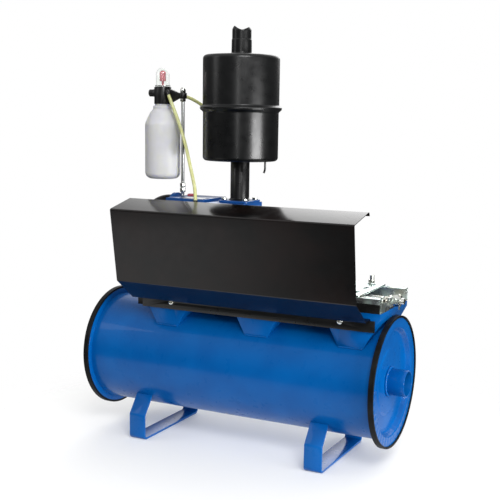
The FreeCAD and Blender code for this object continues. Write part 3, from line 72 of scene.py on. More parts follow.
# ---------------------------------------------------------------- nodes and finishes
def linear(code: str, alpha: float = 1.0) -> tuple[float, float, float, float]:
    """Turn an sRGB hex colour into linear RGBA.

    Args:
        code: The colour as #rrggbb.
        alpha: Its opacity.

    Returns:
        Red, green, blue and alpha.
    """
    parts = [int(code[i:i + 2], 16) / 255 for i in (1, 3, 5)]
    red, green, blue = (p / 12.92 if p <= 0.04045 else ((p + 0.055) / 1.055) ** 2.4 for p in parts)
    return (red, green, blue, alpha)


def per_mm(size: float) -> float:
    """Scale of a texture whose features are this many millimetres across."""
    return 1.0 / (size * MM)


def add(tree: bpy.types.NodeTree, kind: str, sockets: dict | None = None, **settings) -> bpy.types.Node:
    """Add a node with its settings, socket values and incoming links.

    Args:
        tree: The node tree that gets the node.
        kind: The node's type name.
        sockets: Socket name or number to a value, or to the output socket that feeds it.
        settings: Properties of the node itself.

    Returns:
        The new node.
    """
    node = tree.nodes.new(kind)
    for name, value in settings.items():
        setattr(node, name, value)
    for name, value in (sockets or {}).items():
        socket = node.inputs[name]
        if isinstance(value, bpy.types.NodeSocket):
            tree.links.new(value, socket)
        else:
            socket.default_value = value
    return node


def start_material(name: str) -> tuple[bpy.types.Material, bpy.types.NodeTree, bpy.types.NodeSocket]:
    """Start a material that has no shader yet.

    Args:
        name: The material's name.

    Returns:
        The material, its node tree and the socket of the object coordinates.
    """
    material = bpy.data.materials.new(name)
    material.use_nodes = True
    tree = material.node_tree
    tree.nodes.clear()
    coordinates = add(tree, "ShaderNodeTexCoord")
    return material, tree, coordinates.outputs["Object"]


def close_material(tree: bpy.types.NodeTree, shader: bpy.types.Node) -> None:
    """Feed a finished shader to the material's output."""
    add(tree, "ShaderNodeOutputMaterial", {"Surface": shader.outputs[0]})


def blend_colours(tree: bpy.types.NodeTree, factor: bpy.types.NodeSocket, first: str,
                  second: str) -> bpy.types.NodeSocket:
    """Blend two hex colours by a factor socket."""
    mix = add(tree, "ShaderNodeMix", {0: factor, 6: linear(first), 7: linear(second)}, data_type="RGBA")
    return mix.outputs[2]


def remap(tree: bpy.types.NodeTree, value: bpy.types.NodeSocket, low: float, high: float,
          to_low: float, to_high: float) -> bpy.types.NodeSocket:
    """Stretch a value from one range to another, held at its ends."""
    node = add(tree, "ShaderNodeMapRange", {0: value, 1: low, 2: high, 3: to_low, 4: to_high})
    return node.outputs[0]


@dataclass(frozen=True)
class Enamel:
    """Sprayed enamel on sheet steel: an even colour under a clear gloss with faint orange peel."""

    name: str
    colour: str
    thin_film_and_reflection_colour: str
    roughness: float
    coat: float
    coat_roughness: float = 0.08
    peel_mm: float = 5.0
    peel_depth_mm: float = 0.02
    sag_mm: float = 90.0
    sag_depth_mm: float = 0.25
    grain_depth_mm: float = 0.0
    specular: float = 0.5
    draw: float = 1.0

    def build(self) -> bpy.types.Material:
        """Return the enamel as a material."""
        material, tree, place = start_material(self.name)
        # The second colour is a thinner film of paint; on the belt guard its brownish clouds are a painted
        # reflection of a blurry brownish glow.
        cloud = add(tree, "ShaderNodeTexNoise", {"Vector": place, "Scale": per_mm(70.0), "Detail": 3.0})
        colour = blend_colours(tree, remap(tree, cloud.outputs[0], 0.35, 0.65, 0.0, 1.0),
                               self.colour, self.thin_film_and_reflection_colour)
        smear = add(tree, "ShaderNodeTexNoise", {"Vector": place, "Scale": per_mm(18.0), "Detail": 5.0})
        rough = remap(tree, smear.outputs[0], 0.3, 0.7, self.roughness * 0.85, self.roughness * 1.2)
        # Rolled sheet and wet paint both run along X, so the slow waves are drawn out that way.
        drawn = add(tree, "ShaderNodeMapping", {"Vector": place, "Scale": (self.draw, 1.0, 1.0)})
        sag = add(tree, "ShaderNodeTexNoise", {"Vector": drawn.outputs[0], "Scale": per_mm(self.sag_mm),
                                               "Detail": 1.0})
        waves = add(tree, "ShaderNodeBump", {"Height": sag.outputs[0], "Distance": self.sag_depth_mm * MM,
                                             "Strength": 1.0})
        peel = add(tree, "ShaderNodeTexNoise", {"Vector": place, "Scale": per_mm(self.peel_mm),
                                                "Detail": 2.0})
        skin = add(tree, "ShaderNodeBump", {"Height": peel.outputs[0], "Strength": 1.0,
                                            "Distance": self.peel_depth_mm * MM,
                                            "Normal": waves.outputs[0]})
        if self.grain_depth_mm > 0:
            sand = add(tree, "ShaderNodeTexNoise", {"Vector": place, "Scale": per_mm(1.6), "Detail": 4.0})
            skin = add(tree, "ShaderNodeBump", {"Height": sand.outputs[0], "Strength": 1.0,
                                                "Distance": self.grain_depth_mm * MM,
                                                "Normal": skin.outputs[0]})
        shader = add(tree, "ShaderNodeBsdfPrincipled", {
            "Base Color": colour, "Roughness": rough, "Normal": skin.outputs[0],
            "Specular IOR Level": self.specular, "Coat Weight": self.coat,
            "Coat Roughness": self.coat_roughness})
        close_material(tree, shader)
        return material


@dataclass(frozen=True)
class Plating:
    """Bright zinc on steel: blue-white metal with a pale green and straw passivated bloom."""

    name: str = "bright_zinc_plate"
    colour: str = "#dce6e9"
    bloom: str = "#c0d3cc"
    straw: str = "#d9d2b8"
    roughness: float = 0.3
    spangle_mm: float = 14.0

    def build(self) -> bpy.types.Material:
        """Return the plating as a material."""
        material, tree, place = start_material(self.name)
        patch = add(tree, "ShaderNodeTexNoise", {"Vector": place, "Scale": per_mm(self.spangle_mm),
                                                 "Detail": 4.0})
        base = blend_colours(tree, remap(tree, patch.outputs[0], 0.4, 0.62, 0.0, 1.0),
                             self.colour, self.bloom)
        warm = add(tree, "ShaderNodeTexNoise", {"Vector": place, "Scale": per_mm(31.0), "Detail": 3.0})
        tint = add(tree, "ShaderNodeMix", {0: remap(tree, warm.outputs[0], 0.5, 0.72, 0.0, 0.6),
                                           6: base, 7: linear(self.straw)}, data_type="RGBA")
        # Rolling marks run along the sheet; drawn 1.5 mm apart, coarser than the real ones.
        stretch = add(tree, "ShaderNodeMapping", {"Vector": place, "Scale": (0.06, 1.0, 1.0)})
        lines = add(tree, "ShaderNodeTexNoise", {"Vector": stretch.outputs[0], "Scale": per_mm(1.5),
                                                 "Detail": 2.0})
        rough = remap(tree, patch.outputs[0], 0.3, 0.7, self.roughness * 0.7, self.roughness * 1.45)
        bump = add(tree, "ShaderNodeBump", {"Height": lines.outputs[0], "Distance": 0.012 * MM,
                                            "Strength": 0.7})
        shader = add(tree, "ShaderNodeBsdfPrincipled", {
            "Base Color": tint.outputs[2], "Metallic": 1.0, "Roughness": rough, "Normal": bump.outputs[0]})
        close_material(tree, shader)
        return material


@dataclass(frozen=True)
class Metal:
    """Bare machined or cast metal, oiled against rust."""

    name: str
    colour: str
    stain: str
    roughness: float
    grain_mm: float
    metallic: float = 1.0

    def build(self) -> bpy.types.Material:
        """Return the metal as a material."""
        material, tree, place = start_material(self.name)
        grain = add(tree, "ShaderNodeTexNoise", {"Vector": place, "Scale": per_mm(self.grain_mm),
                                                 "Detail": 5.0})
        colour = blend_colours(tree, remap(tree, grain.outputs[0], 0.4, 0.7, 0.0, 1.0),
                               self.colour, self.stain)
        bump = add(tree, "ShaderNodeBump", {"Height": grain.outputs[0], "Distance": 0.03 * MM,
                                            "Strength": 1.0})
        shader = add(tree, "ShaderNodeBsdfPrincipled", {
            "Base Color": colour, "Metallic": self.metallic, "Normal": bump.outputs[0],
            "Roughness": remap(tree, grain.outputs[0], 0.3, 0.7, self.roughness * 0.8, self.roughness * 1.3)})
        close_material(tree, shader)
        return material


@dataclass(frozen=True)
class Rubber:
    """Extruded black rubber: dull, with a grey bloom and a fine grain."""

    name: str
    colour: str = "#0a0b0c"
    bloom: str = "#16171a"
    roughness: float = 0.5

    def build(self) -> bpy.types.Material:
        """Return the rubber as a material."""
        material, tree, place = start_material(self.name)
        cloud = add(tree, "ShaderNodeTexNoise", {"Vector": place, "Scale": per_mm(22.0), "Detail": 5.0})
        colour = blend_colours(tree, remap(tree, cloud.outputs[0], 0.42, 0.7, 0.0, 1.0),
                               self.colour, self.bloom)
        grain = add(tree, "ShaderNodeTexNoise", {"Vector": place, "Scale": per_mm(1.2), "Detail": 3.0})
        bump = add(tree, "ShaderNodeBump", {"Height": grain.outputs[0], "Distance": 0.03 * MM,
                                            "Strength": 1.0})
        rough = remap(tree, cloud.outputs[0], 0.3, 0.7, self.roughness * 0.85, self.roughness * 1.2)
        shader = add(tree, "ShaderNodeBsdfPrincipled", {
            "Base Color": colour, "Normal": bump.outputs[0], "Specular IOR Level": 0.15, "Roughness": rough})
        close_material(tree, shader)
        return material


@dataclass(frozen=True)
class Plastic:
    """Moulded or blown plastic, from solid black to milky or water clear."""

    name: str
    colour: str
    second: str
    roughness: float
    clearness: float = 0.0
    glow: float = 0.0
    ior: float = 1.49
    flow_mm: float = 12.0
    skin_depth_mm: float = 0.03

    def build(self) -> bpy.types.Material:
        """Return the plastic as a material."""
        material, tree, place = start_material(self.name)
        flow = add(tree, "ShaderNodeTexNoise", {"Vector": place, "Scale": per_mm(self.flow_mm),
                                                "Detail": 3.0})
        colour = blend_colours(tree, remap(tree, flow.outputs[0], 0.35, 0.65, 0.0, 1.0),
                               self.colour, self.second)
        skin = add(tree, "ShaderNodeTexNoise", {"Vector": place, "Scale": per_mm(2.5), "Detail": 2.0})
        bump = add(tree, "ShaderNodeBump", {"Height": skin.outputs[0], "Strength": 1.0,
                                            "Distance": self.skin_depth_mm * MM})
        rough = remap(tree, flow.outputs[0], 0.3, 0.7, self.roughness * 0.85, self.roughness * 1.15)
        shader = add(tree, "ShaderNodeBsdfPrincipled", {
            "Base Color": colour, "Normal": bump.outputs[0], "IOR": self.ior,
            "Transmission Weight": self.clearness, "Subsurface Weight": self.glow,
            "Subsurface Radius": (0.006, 0.006, 0.004), "Subsurface Scale": 1.0,
            "Roughness": rough})
        close_material(tree, shader)
        return material


TANK_BLUE = Enamel("tank_enamel_blue", "#00529a", "#005aa4", roughness=0.3, coat=0.25, coat_roughness=0.05,
                   sag_mm=60.0, sag_depth_mm=0.35, peel_depth_mm=0.0, specular=0.1, draw=0.25)
PUMP_BLUE = Enamel("casting_enamel_blue", "#0a4f9a", "#084789", roughness=0.35, coat=0.4, grain_depth_mm=0.06)
# The guard's brownish second colour, laid in 70 mm clouds, is a painted reflection of a blurry brownish glow
# on its black gloss.
GUARD_BLACK = Enamel("guard_enamel_black", "#0c0b0b", "#150f0e", roughness=0.15, coat=0.0,
                     sag_mm=220.0, sag_depth_mm=0.12, peel_depth_mm=0.002, specular=0.4)
FRAME_BLACK = Enamel("frame_enamel_black", "#0a0a0a", "#101010", roughness=0.3, coat=0.2, specular=0.4)
SILENCER_BLACK = Enamel("silencer_satin_black", "#070809", "#0b0c0d", roughness=0.3, coat=0.15,
                        coat_roughness=0.2, sag_mm=60.0, sag_depth_mm=0.1, specular=0.4)
ZINC = Plating()
BRIGHT_ZINC = Plating("bright_zinc_turned", colour="#e9ebe8", bloom="#d5dad2", roughness=0.2, spangle_mm=5.0)
TURNED_STEEL = Metal("turned_steel", "#a9abad", "#8d8f92", roughness=0.28, grain_mm=3.0)
CAST_IRON = Metal("machined_cast_iron", "#4b4c4e", "#36373a", roughness=0.5, grain_mm=2.0)
VANE_FIBRE = Metal("vane_fibre_laminate", "#7a5534", "#5f3f26", roughness=0.6, grain_mm=1.5, metallic=0.0)
PLATE_GREY = Metal("anodised_data_plate", "#b9bbbc", "#a6a9aa", roughness=0.35, grain_mm=2.0)
SEAL_RUBBER = Rubber("seal_rubber")
HOSE_RUBBER = Rubber("moulded_hose_rubber", colour="#0c0c0d", bloom="#19191a", roughness=0.38)
HEAD_BLACK = Plastic("moulded_nylon_black", "#0c0c0d", "#141415", roughness=0.36)
RED_PLASTIC = Plastic("moulded_pink_plastic", "#d98a92", "#cc6f7a", roughness=0.35, glow=0.3)
PLUG_RED = Plastic("moulded_red_cap", "#c65a66", "#b9485a", roughness=0.35)
ROD_STEEL = Metal("drawn_steel_rod", "#b4b6b6", "#a0a2a2", roughness=0.32, grain_mm=6.0)
BOTTLE = Plastic("blown_polyethylene", "#f4f5e6", "#eeefdc", roughness=0.42, glow=1.0, flow_mm=45.0)
DOME_CLEAR = Plastic("clear_acrylic", "#ffffff", "#f6faf6", roughness=0.04, clearness=1.0, skin_depth_mm=0.0)
TUBE_GREEN = Plastic("polyurethane_tube", "#e6e8b0", "#dee09c", roughness=0.22, clearness=0.2, glow=0.4)


# ---------------------------------------------------------------- meshes
def finished(name: str, mesh: bpy.types.Mesh, finish: bpy.types.Material, body: str,
             replaced: Iterable[str] = ()) -> bpy.types.Object:
    """Put a finished mesh into the frame.

    Args:
        name: The piece's name.
        mesh: Its mesh, already in place.
        finish: Its material.
        body: The moving body that it rides on.
        replaced: CAD nodes that it stands for.

    Returns:
        The piece's object.
    """
    mesh.materials.clear()
    mesh.materials.append(finish)
    piece = bpy.data.objects.new(name, mesh)
    bpy.context.scene.collection.objects.link(piece)
    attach(piece, body)
    for node in replaced:
        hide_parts(node)
    return piece


def to_mesh(bm: bmesh.types.BMesh, name: str, crease: float) -> bpy.types.Mesh:
    """Turn a bmesh into a smooth-shaded mesh with its faces outwards.

    Args:
        bm: The surface, which is freed.
        name: The mesh's name.
        crease: Angle in degrees past which an edge stays sharp.

    Returns:
        The mesh.
    """
    bmesh.ops.remove_doubles(bm, verts=bm.verts, dist=1e-6)
    bmesh.ops.recalc_face_normals(bm, faces=bm.faces)
    for face in bm.faces:
        face.smooth = True
    mesh = bpy.data.meshes.new(name)
    bm.to_mesh(mesh)
    bm.free()
    mesh.set_sharp_from_angle(angle=math.radians(crease))
    return mesh


def rounded(points: Sequence[Point], radii: Sequence[float], steps: int = 5) -> list[Point]:
    """Round the inner corners of a 2-D path.

    Args:
        points: The path's corners.
        radii: One radius for each corner that isn't an end.
        steps: Straight pieces in each arc.

    Returns:
        The path with its corners rounded.
    """
    path = [Vector(points[0])]
    for before, corner, after, radius in zip(points, points[1:], points[2:], radii):
        here = Vector(corner)
        inward = (Vector(before) - here).normalized()
        outward = (Vector(after) - here).normalized()
        opening = inward.angle(outward, math.pi)
        if radius <= 0 or opening > math.pi - 0.01:
            path.append(here)
            continue
        reach = radius / math.tan(opening / 2)
        centre = here + (inward + outward).normalized() * (radius / math.sin(opening / 2))
        begin = here + inward * reach - centre
        end = here + outward * reach - centre
        turn = begin.angle_signed(end)
        for k in range(steps + 1):
            spin = Matrix.Rotation(-turn * k / steps, 2)
            path.append(centre + spin @ begin)
    path.append(Vector(points[-1]))
    return [(p.x, p.y) for p in path]


def closed_rounded(points: Sequence[Point], radius: float, steps: int = 4) -> list[Point]:
    """Round every corner of a closed 2-D outline.

    Args:
        points: The outline's corners.
        radius: Radius of every corner.
        steps: Straight pieces in each arc.

    Returns:
        The outline with its corners rounded.
    """
    middle = ((points[0][0] + points[-1][0]) / 2, (points[0][1] + points[-1][1]) / 2)
    path = rounded([middle, *points, middle], [radius] * len(points), steps)
    return path[:-1]


def divided(path: Sequence[Point], longest: float) -> list[Point]:
    """Divide a 2-D path's lines into pieces of about one length.

    Args:
        path: The path's points.
        longest: Length that a line is counted in.

    Returns:
        The path with the added points.
    """
    fine = []
    for a, b in zip(path, path[1:]):
        pieces = max(1, int(math.dist(a, b) / longest))
        fine += [(a[0] + (b[0] - a[0]) * k / pieces, a[1] + (b[1] - a[1]) * k / pieces)
                 for k in range(pieces)]
    return [*fine, path[-1]]


def lathe(profile: Sequence[Point], centre: Vector, axis: Axis, steps: int = 128, closed: bool = False,
          shape: Callable[[float, float, float], Point] | None = None) -> bmesh.types.BMesh:
    """Turn a profile about one of the frame's axes.

    Args:
        profile: Radius and height pairs in millimetres; radius 0 makes a pole.
        centre: A point on the axis, in metres, that heights are counted from.
        axis: The direction turned about.
        steps: Faces round.
        closed: Whether the last point joins the first.
        shape: Optional change of radius and height, given radius, height and angle.

    Returns:
        The turned surface.
    """
    bm = bmesh.new()
    rings: list[list[bmesh.types.BMVert]] = []
    for radius, height in profile:
        ring = []
        for k in range(steps if radius > 1e-9 else 1):
            angle = 2 * math.pi * k / steps
            r, h = shape(radius, height, angle) if shape else (radius, height)
            u, v = r * math.cos(angle) * MM, r * math.sin(angle) * MM
            local = {Axis.X: (h * MM, u, v), Axis.Y: (v, h * MM, u), Axis.Z: (u, v, h * MM)}[axis]
            ring.append(bm.verts.new(centre + Vector(local)))
        rings.append(ring)
    pairs = list(zip(rings, rings[1:]))
    if closed:
        pairs.append((rings[-1], rings[0]))
    for low, high in pairs:
        for k in range(steps):
            j = (k + 1) % steps
            corners = [low[k % len(low)], low[j % len(low)], high[j % len(high)], high[k % len(high)]]
            unique = list(dict.fromkeys(corners))
            if len(unique) > 2:
                bm.faces.new(unique)
    return bm


def sweep_x(outline: Sequence[Point], x0: float, x1: float, centre: Vector, divisions: int,
            bow: Callable[[float, float, float], Place] | None = None) -> bmesh.types.BMesh:
    """Draw a closed YZ outline along X, with flat ends.

    Args:
        outline: Y and Z pairs in millimetres.
        x0: Start along X in millimetres.
        x1: End along X in millimetres.
        centre: The origin of all three, in metres.
        divisions: Pieces along X.
        bow: Optional change of a point, given X, Y and Z.

    Returns:
        The closed solid.
    """
    bm = bmesh.new()
    rings = []
    for step in range(divisions + 1):
        x = x0 + (x1 - x0) * step / divisions
        ring = []
        for y, z in outline:
            moved = bow(x, y, z) if bow else (x, y, z)
            ring.append(bm.verts.new(centre + Vector(moved) * MM))
        rings.append(ring)
    count = len(outline)
    for low, high in zip(rings, rings[1:]):
        for k in range(count):
            j = (k + 1) % count
            bm.faces.new((low[k], low[j], high[j], high[k]))
    bm.faces.new(rings[0])
    bm.faces.new(rings[-1])
    return bm


def refined(node: str, finish: bpy.types.Material, edge: float) -> bpy.types.Object:
    """Stand a copy of a CAD node in its place, with its sharp edges broken as a maker leaves them.

    Args:
        node: The CAD node.
        finish: The copy's material.
        edge: Width of the broken edge in millimetres.

    Returns:
        The copy's object.
    """
    source = frame["nodes"][node]
    bm = bmesh.new()
    bm.from_mesh(source.data)
    bmesh.ops.remove_doubles(bm, verts=bm.verts, dist=2e-6)
    bmesh.ops.dissolve_limit(bm, angle_limit=math.radians(0.6), verts=bm.verts, edges=bm.edges)
    for face in bm.faces:
        face.smooth = True
    mesh = bpy.data.meshes.new(node)
    bm.to_mesh(mesh)
    bm.free()
    temporary = bpy.data.objects.new(node + "_temporary", mesh)
    bpy.context.scene.collection.objects.link(temporary)
    bevel = temporary.modifiers.new("edge", "BEVEL")
    bevel.width = edge * MM
    bevel.segments = 2
    bevel.limit_method = "ANGLE"
    bevel.angle_limit = math.radians(SHARP_DEGREES)
    bevel.harden_normals = True
    mesh = evaluated_mesh(temporary, node)
    bpy.data.objects.remove(temporary)
    return finished(node + "_skin", mesh, finish, body_of_node(node), [node])


def evaluated_mesh(piece: bpy.types.Object, name: str) -> bpy.types.Mesh:
    """Work a piece's modifiers into a plain mesh.

    Args:
        piece: An object that is linked to the scene.
        name: The new mesh's name.

    Returns:
        The mesh.
    """
    bpy.context.view_layer.update()
    graph = bpy.context.evaluated_depsgraph_get()
    mesh = bpy.data.meshes.new_from_object(piece.evaluated_get(graph))
    mesh.name = name
    return mesh


def body_of_node(node: str) -> str:
    """Return the moving body that holds a CAD node."""
    bodies = frame["record"]["behaviour"]["bodies"]
    return next(body for body, members in bodies.items() if node in members)


def middle(node: str) -> Vector:
    """Return the middle of a CAD node's box, in metres."""
    low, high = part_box(node)
    return (low + high) / 2


def dress(nodes: Iterable[str], finish: bpy.types.Material) -> None:
    """Give CAD nodes a finish without changing their shape."""
    for node in nodes:
        mesh = frame["nodes"][node].data
        mesh.materials.clear()
        mesh.materials.append(finish)


# ---------------------------------------------------------------- geometry node trees
class TreePiece:
    """A geometry node tree that is run on a mesh to give one plain piece."""

    def __init__(self, name: str, inputs: Iterable[tuple[str, str, object]]) -> None:
        """Start the tree with its named inputs.

        Args:
            name: The tree's name.
            inputs: Name, socket type and first value of each input but the material.
        """
        self.tree = bpy.data.node_groups.new(name, "GeometryNodeTree")
        self.sockets: dict[str, str] = {}
        for title, kind, value in (*inputs, ("Material", "NodeSocketMaterial", None)):
            socket = self.tree.interface.new_socket(title, in_out="INPUT", socket_type=kind)
            if value is not None:
                socket.default_value = value
            self.sockets[title] = socket.identifier
        self.tree.interface.new_socket("Geometry", in_out="OUTPUT", socket_type="NodeSocketGeometry")
        self.given = add(self.tree, "NodeGroupInput").outputs

    def close(self, skin: bpy.types.NodeSocket) -> None:
        """Smooth a skin, make it real, colour it and send it out of the tree."""
        smooth = add(self.tree, "GeometryNodeSetShadeSmooth", {0: skin})
        real = add(self.tree, "GeometryNodeRealizeInstances", {0: smooth.outputs[0]})
        final = add(self.tree, "GeometryNodeSetMaterial", {"Geometry": real.outputs[0],
                                                           "Material": self.given["Material"]})
        add(self.tree, "NodeGroupOutput", {0: final.outputs[0]})

    def run(self, name: str, mesh: bpy.types.Mesh, finish: bpy.types.Material, body: str, slot: str,
            values: dict[str, float | tuple[float, ...]]) -> bpy.types.Object:
        """Run the tree on a mesh and keep the plain result.

        Args:
            name: The piece's name.
            mesh: What the tree works on.
            finish: The piece's material.
            body: The body it rides on.
            slot: Not used.
            values: Input name to value.

        Returns:
            The piece's object.
        """
        holder = bpy.data.objects.new(name + "_path", mesh)
        bpy.context.scene.collection.objects.link(holder)
        modifier = holder.modifiers.new("tree", "NODES")
        modifier.node_group = self.tree
        for key, value in {**values, "Material": finish}.items():
            modifier[self.sockets[key]] = value
        result = evaluated_mesh(holder, name)
        holder.modifiers.remove(modifier)
        bpy.data.objects.remove(holder)
        return finished(name, result, finish, body)


class WeldBead(TreePiece):
    """A rippled weld bead laid along a path."""

    width = 5.0
    ripple = 2.2
    ripple_points = 4
    swell = 0.16

    def __init__(self) -> None:
        """Build the bead's geometry node tree once."""
        super().__init__("weld_bead", (("Geometry", "NodeSocketGeometry", None),
                                       ("Bead radius", "NodeSocketFloat", self.width * MM / 2),
                                       ("Ripple spacing", "NodeSocketFloat", self.ripple * MM),
                                       ("Seed", "NodeSocketInt", 3)))
        tree, given = self.tree, self.given
        curve = add(tree, "GeometryNodeMeshToCurve", {0: given["Geometry"]})
        spacing = add(tree, "ShaderNodeMath", {0: given["Ripple spacing"], 1: float(self.ripple_points)},
                      operation="DIVIDE")
        fine = add(tree, "GeometryNodeResampleCurve", {
            "Curve": curve.outputs[0], "Length": spacing.outputs[0]}, mode="LENGTH")
        index = add(tree, "GeometryNodeInputIndex")
        phase = add(tree, "ShaderNodeMath", {0: index.outputs[0], 1: math.pi / self.ripple_points},
                    operation="MULTIPLY")
        wave = add(tree, "ShaderNodeMath", {0: phase.outputs[0]}, operation="SINE")
        size = add(tree, "ShaderNodeMath", {0: wave.outputs[0]}, operation="ABSOLUTE")
        jitter = add(tree, "FunctionNodeRandomValue", {"Seed": given["Seed"], 2: 0.78, 3: 0.92})
        swell = add(tree, "ShaderNodeMath", {0: size.outputs[0], 1: self.swell, 2: jitter.outputs[1]},
                    operation="MULTIPLY_ADD")
        radius = add(tree, "ShaderNodeMath", {0: swell.outputs[0], 1: given["Bead radius"]},
                     operation="MULTIPLY")
        sized = add(tree, "GeometryNodeSetCurveRadius", {
            "Curve": fine.outputs[0], "Radius": radius.outputs[0]})
        ring = add(tree, "GeometryNodeCurvePrimitiveCircle", {"Resolution": 10, "Radius": 1.0})
        skin = add(tree, "GeometryNodeCurveToMesh", {
            "Curve": sized.outputs[0], "Profile Curve": ring.outputs[0], "Scale": radius.outputs[0],
            "Fill Caps": True})
        self.close(skin.outputs[0])

    def lay(self, name: str, paths: Iterable[Sequence[Vector]], finish: bpy.types.Material, slot: str,
            width: float = 5.0) -> bpy.types.Object:
        """Lay beads on the frame along some paths and return them as one piece.

        Args:
            name: The piece's name.
            paths: Point lists in metres.
            finish: The bead's material.
            slot: Not used.
            width: Width of the bead in millimetres.

        Returns:
            The piece's object.
        """
        mesh = bpy.data.meshes.new(name)
        points: list[Vector] = []
        edges: list[tuple[int, int]] = []
        for path in paths:
            first = len(points)
            points += path
            edges += [(first + k, first + k + 1) for k in range(len(path) - 1)]
        mesh.from_pydata(points, edges, [])
        return self.run(name, mesh, finish, "frame", slot, {"Bead radius": width * MM / 2})


class ThreadTurns(TreePiece):
    """The raised turns of a screw thread, wound as one helix."""

    ridge_share = 0.3
    sunk_share = 0.35

    def __init__(self) -> None:
        """Build the thread's geometry node tree once."""
        super().__init__("thread_turns", (("Turns", "NodeSocketFloat", 10.0),
                                          ("Radius", "NodeSocketFloat", 4 * MM),
                                          ("Length", "NodeSocketFloat", 12 * MM),
                                          ("Ridge", "NodeSocketFloat", 0.4 * MM),
                                          ("Place", "NodeSocketVector", (0.0, 0.0, 0.0)),
                                          ("Turn", "NodeSocketVector", (0.0, 0.0, 0.0))))
        tree, given = self.tree, self.given
        helix = add(tree, "GeometryNodeCurveSpiral", {
            "Resolution": 24, "Rotations": given["Turns"], "Start Radius": given["Radius"],
            "End Radius": given["Radius"], "Height": given["Length"]})
        ring = add(tree, "GeometryNodeCurvePrimitiveCircle", {"Resolution": 5, "Radius": given["Ridge"]})
        skin = add(tree, "GeometryNodeCurveToMesh", {
            "Curve": helix.outputs[0], "Profile Curve": ring.outputs[0], "Fill Caps": True})
        placed = add(tree, "GeometryNodeTransform", {
            "Geometry": skin.outputs[0], "Translation": given["Place"], "Rotation": given["Turn"]})
        self.close(placed.outputs[0])

    def cut(self, name: str, start: Vector, length: float, radius: float, pitch: float, axis: Axis,
            finish: bpy.types.Material, body: str) -> bpy.types.Object:
        """Cut a thread on a zinc-plated rod and return its ridges as a piece.

        Args:
            name: The piece's name.
            start: First end of the thread on the rod's axis, in metres.
            length: Threaded length in millimetres.
            radius: The rod's radius in millimetres.
            pitch: Spacing of the turns in millimetres.
            axis: Direction that the thread runs in.
            finish: Its material.
            body: The body it rides on.

        Returns:
            The piece's object.
        """
        quarter = math.pi / 2
        turn = {Axis.X: (0.0, quarter, 0.0), Axis.Y: (-quarter, 0.0, 0.0), Axis.Z: (0.0, 0.0, 0.0)}[axis]
        ridge = pitch * self.ridge_share
        values = {"Turns": length / pitch, "Radius": (radius - ridge * self.sunk_share) * MM,
                  "Length": length * MM, "Ridge": ridge * MM, "Place": tuple(start), "Turn": turn}
        return self.run(name, bpy.data.meshes.new(name), finish, body, "zinc", values)


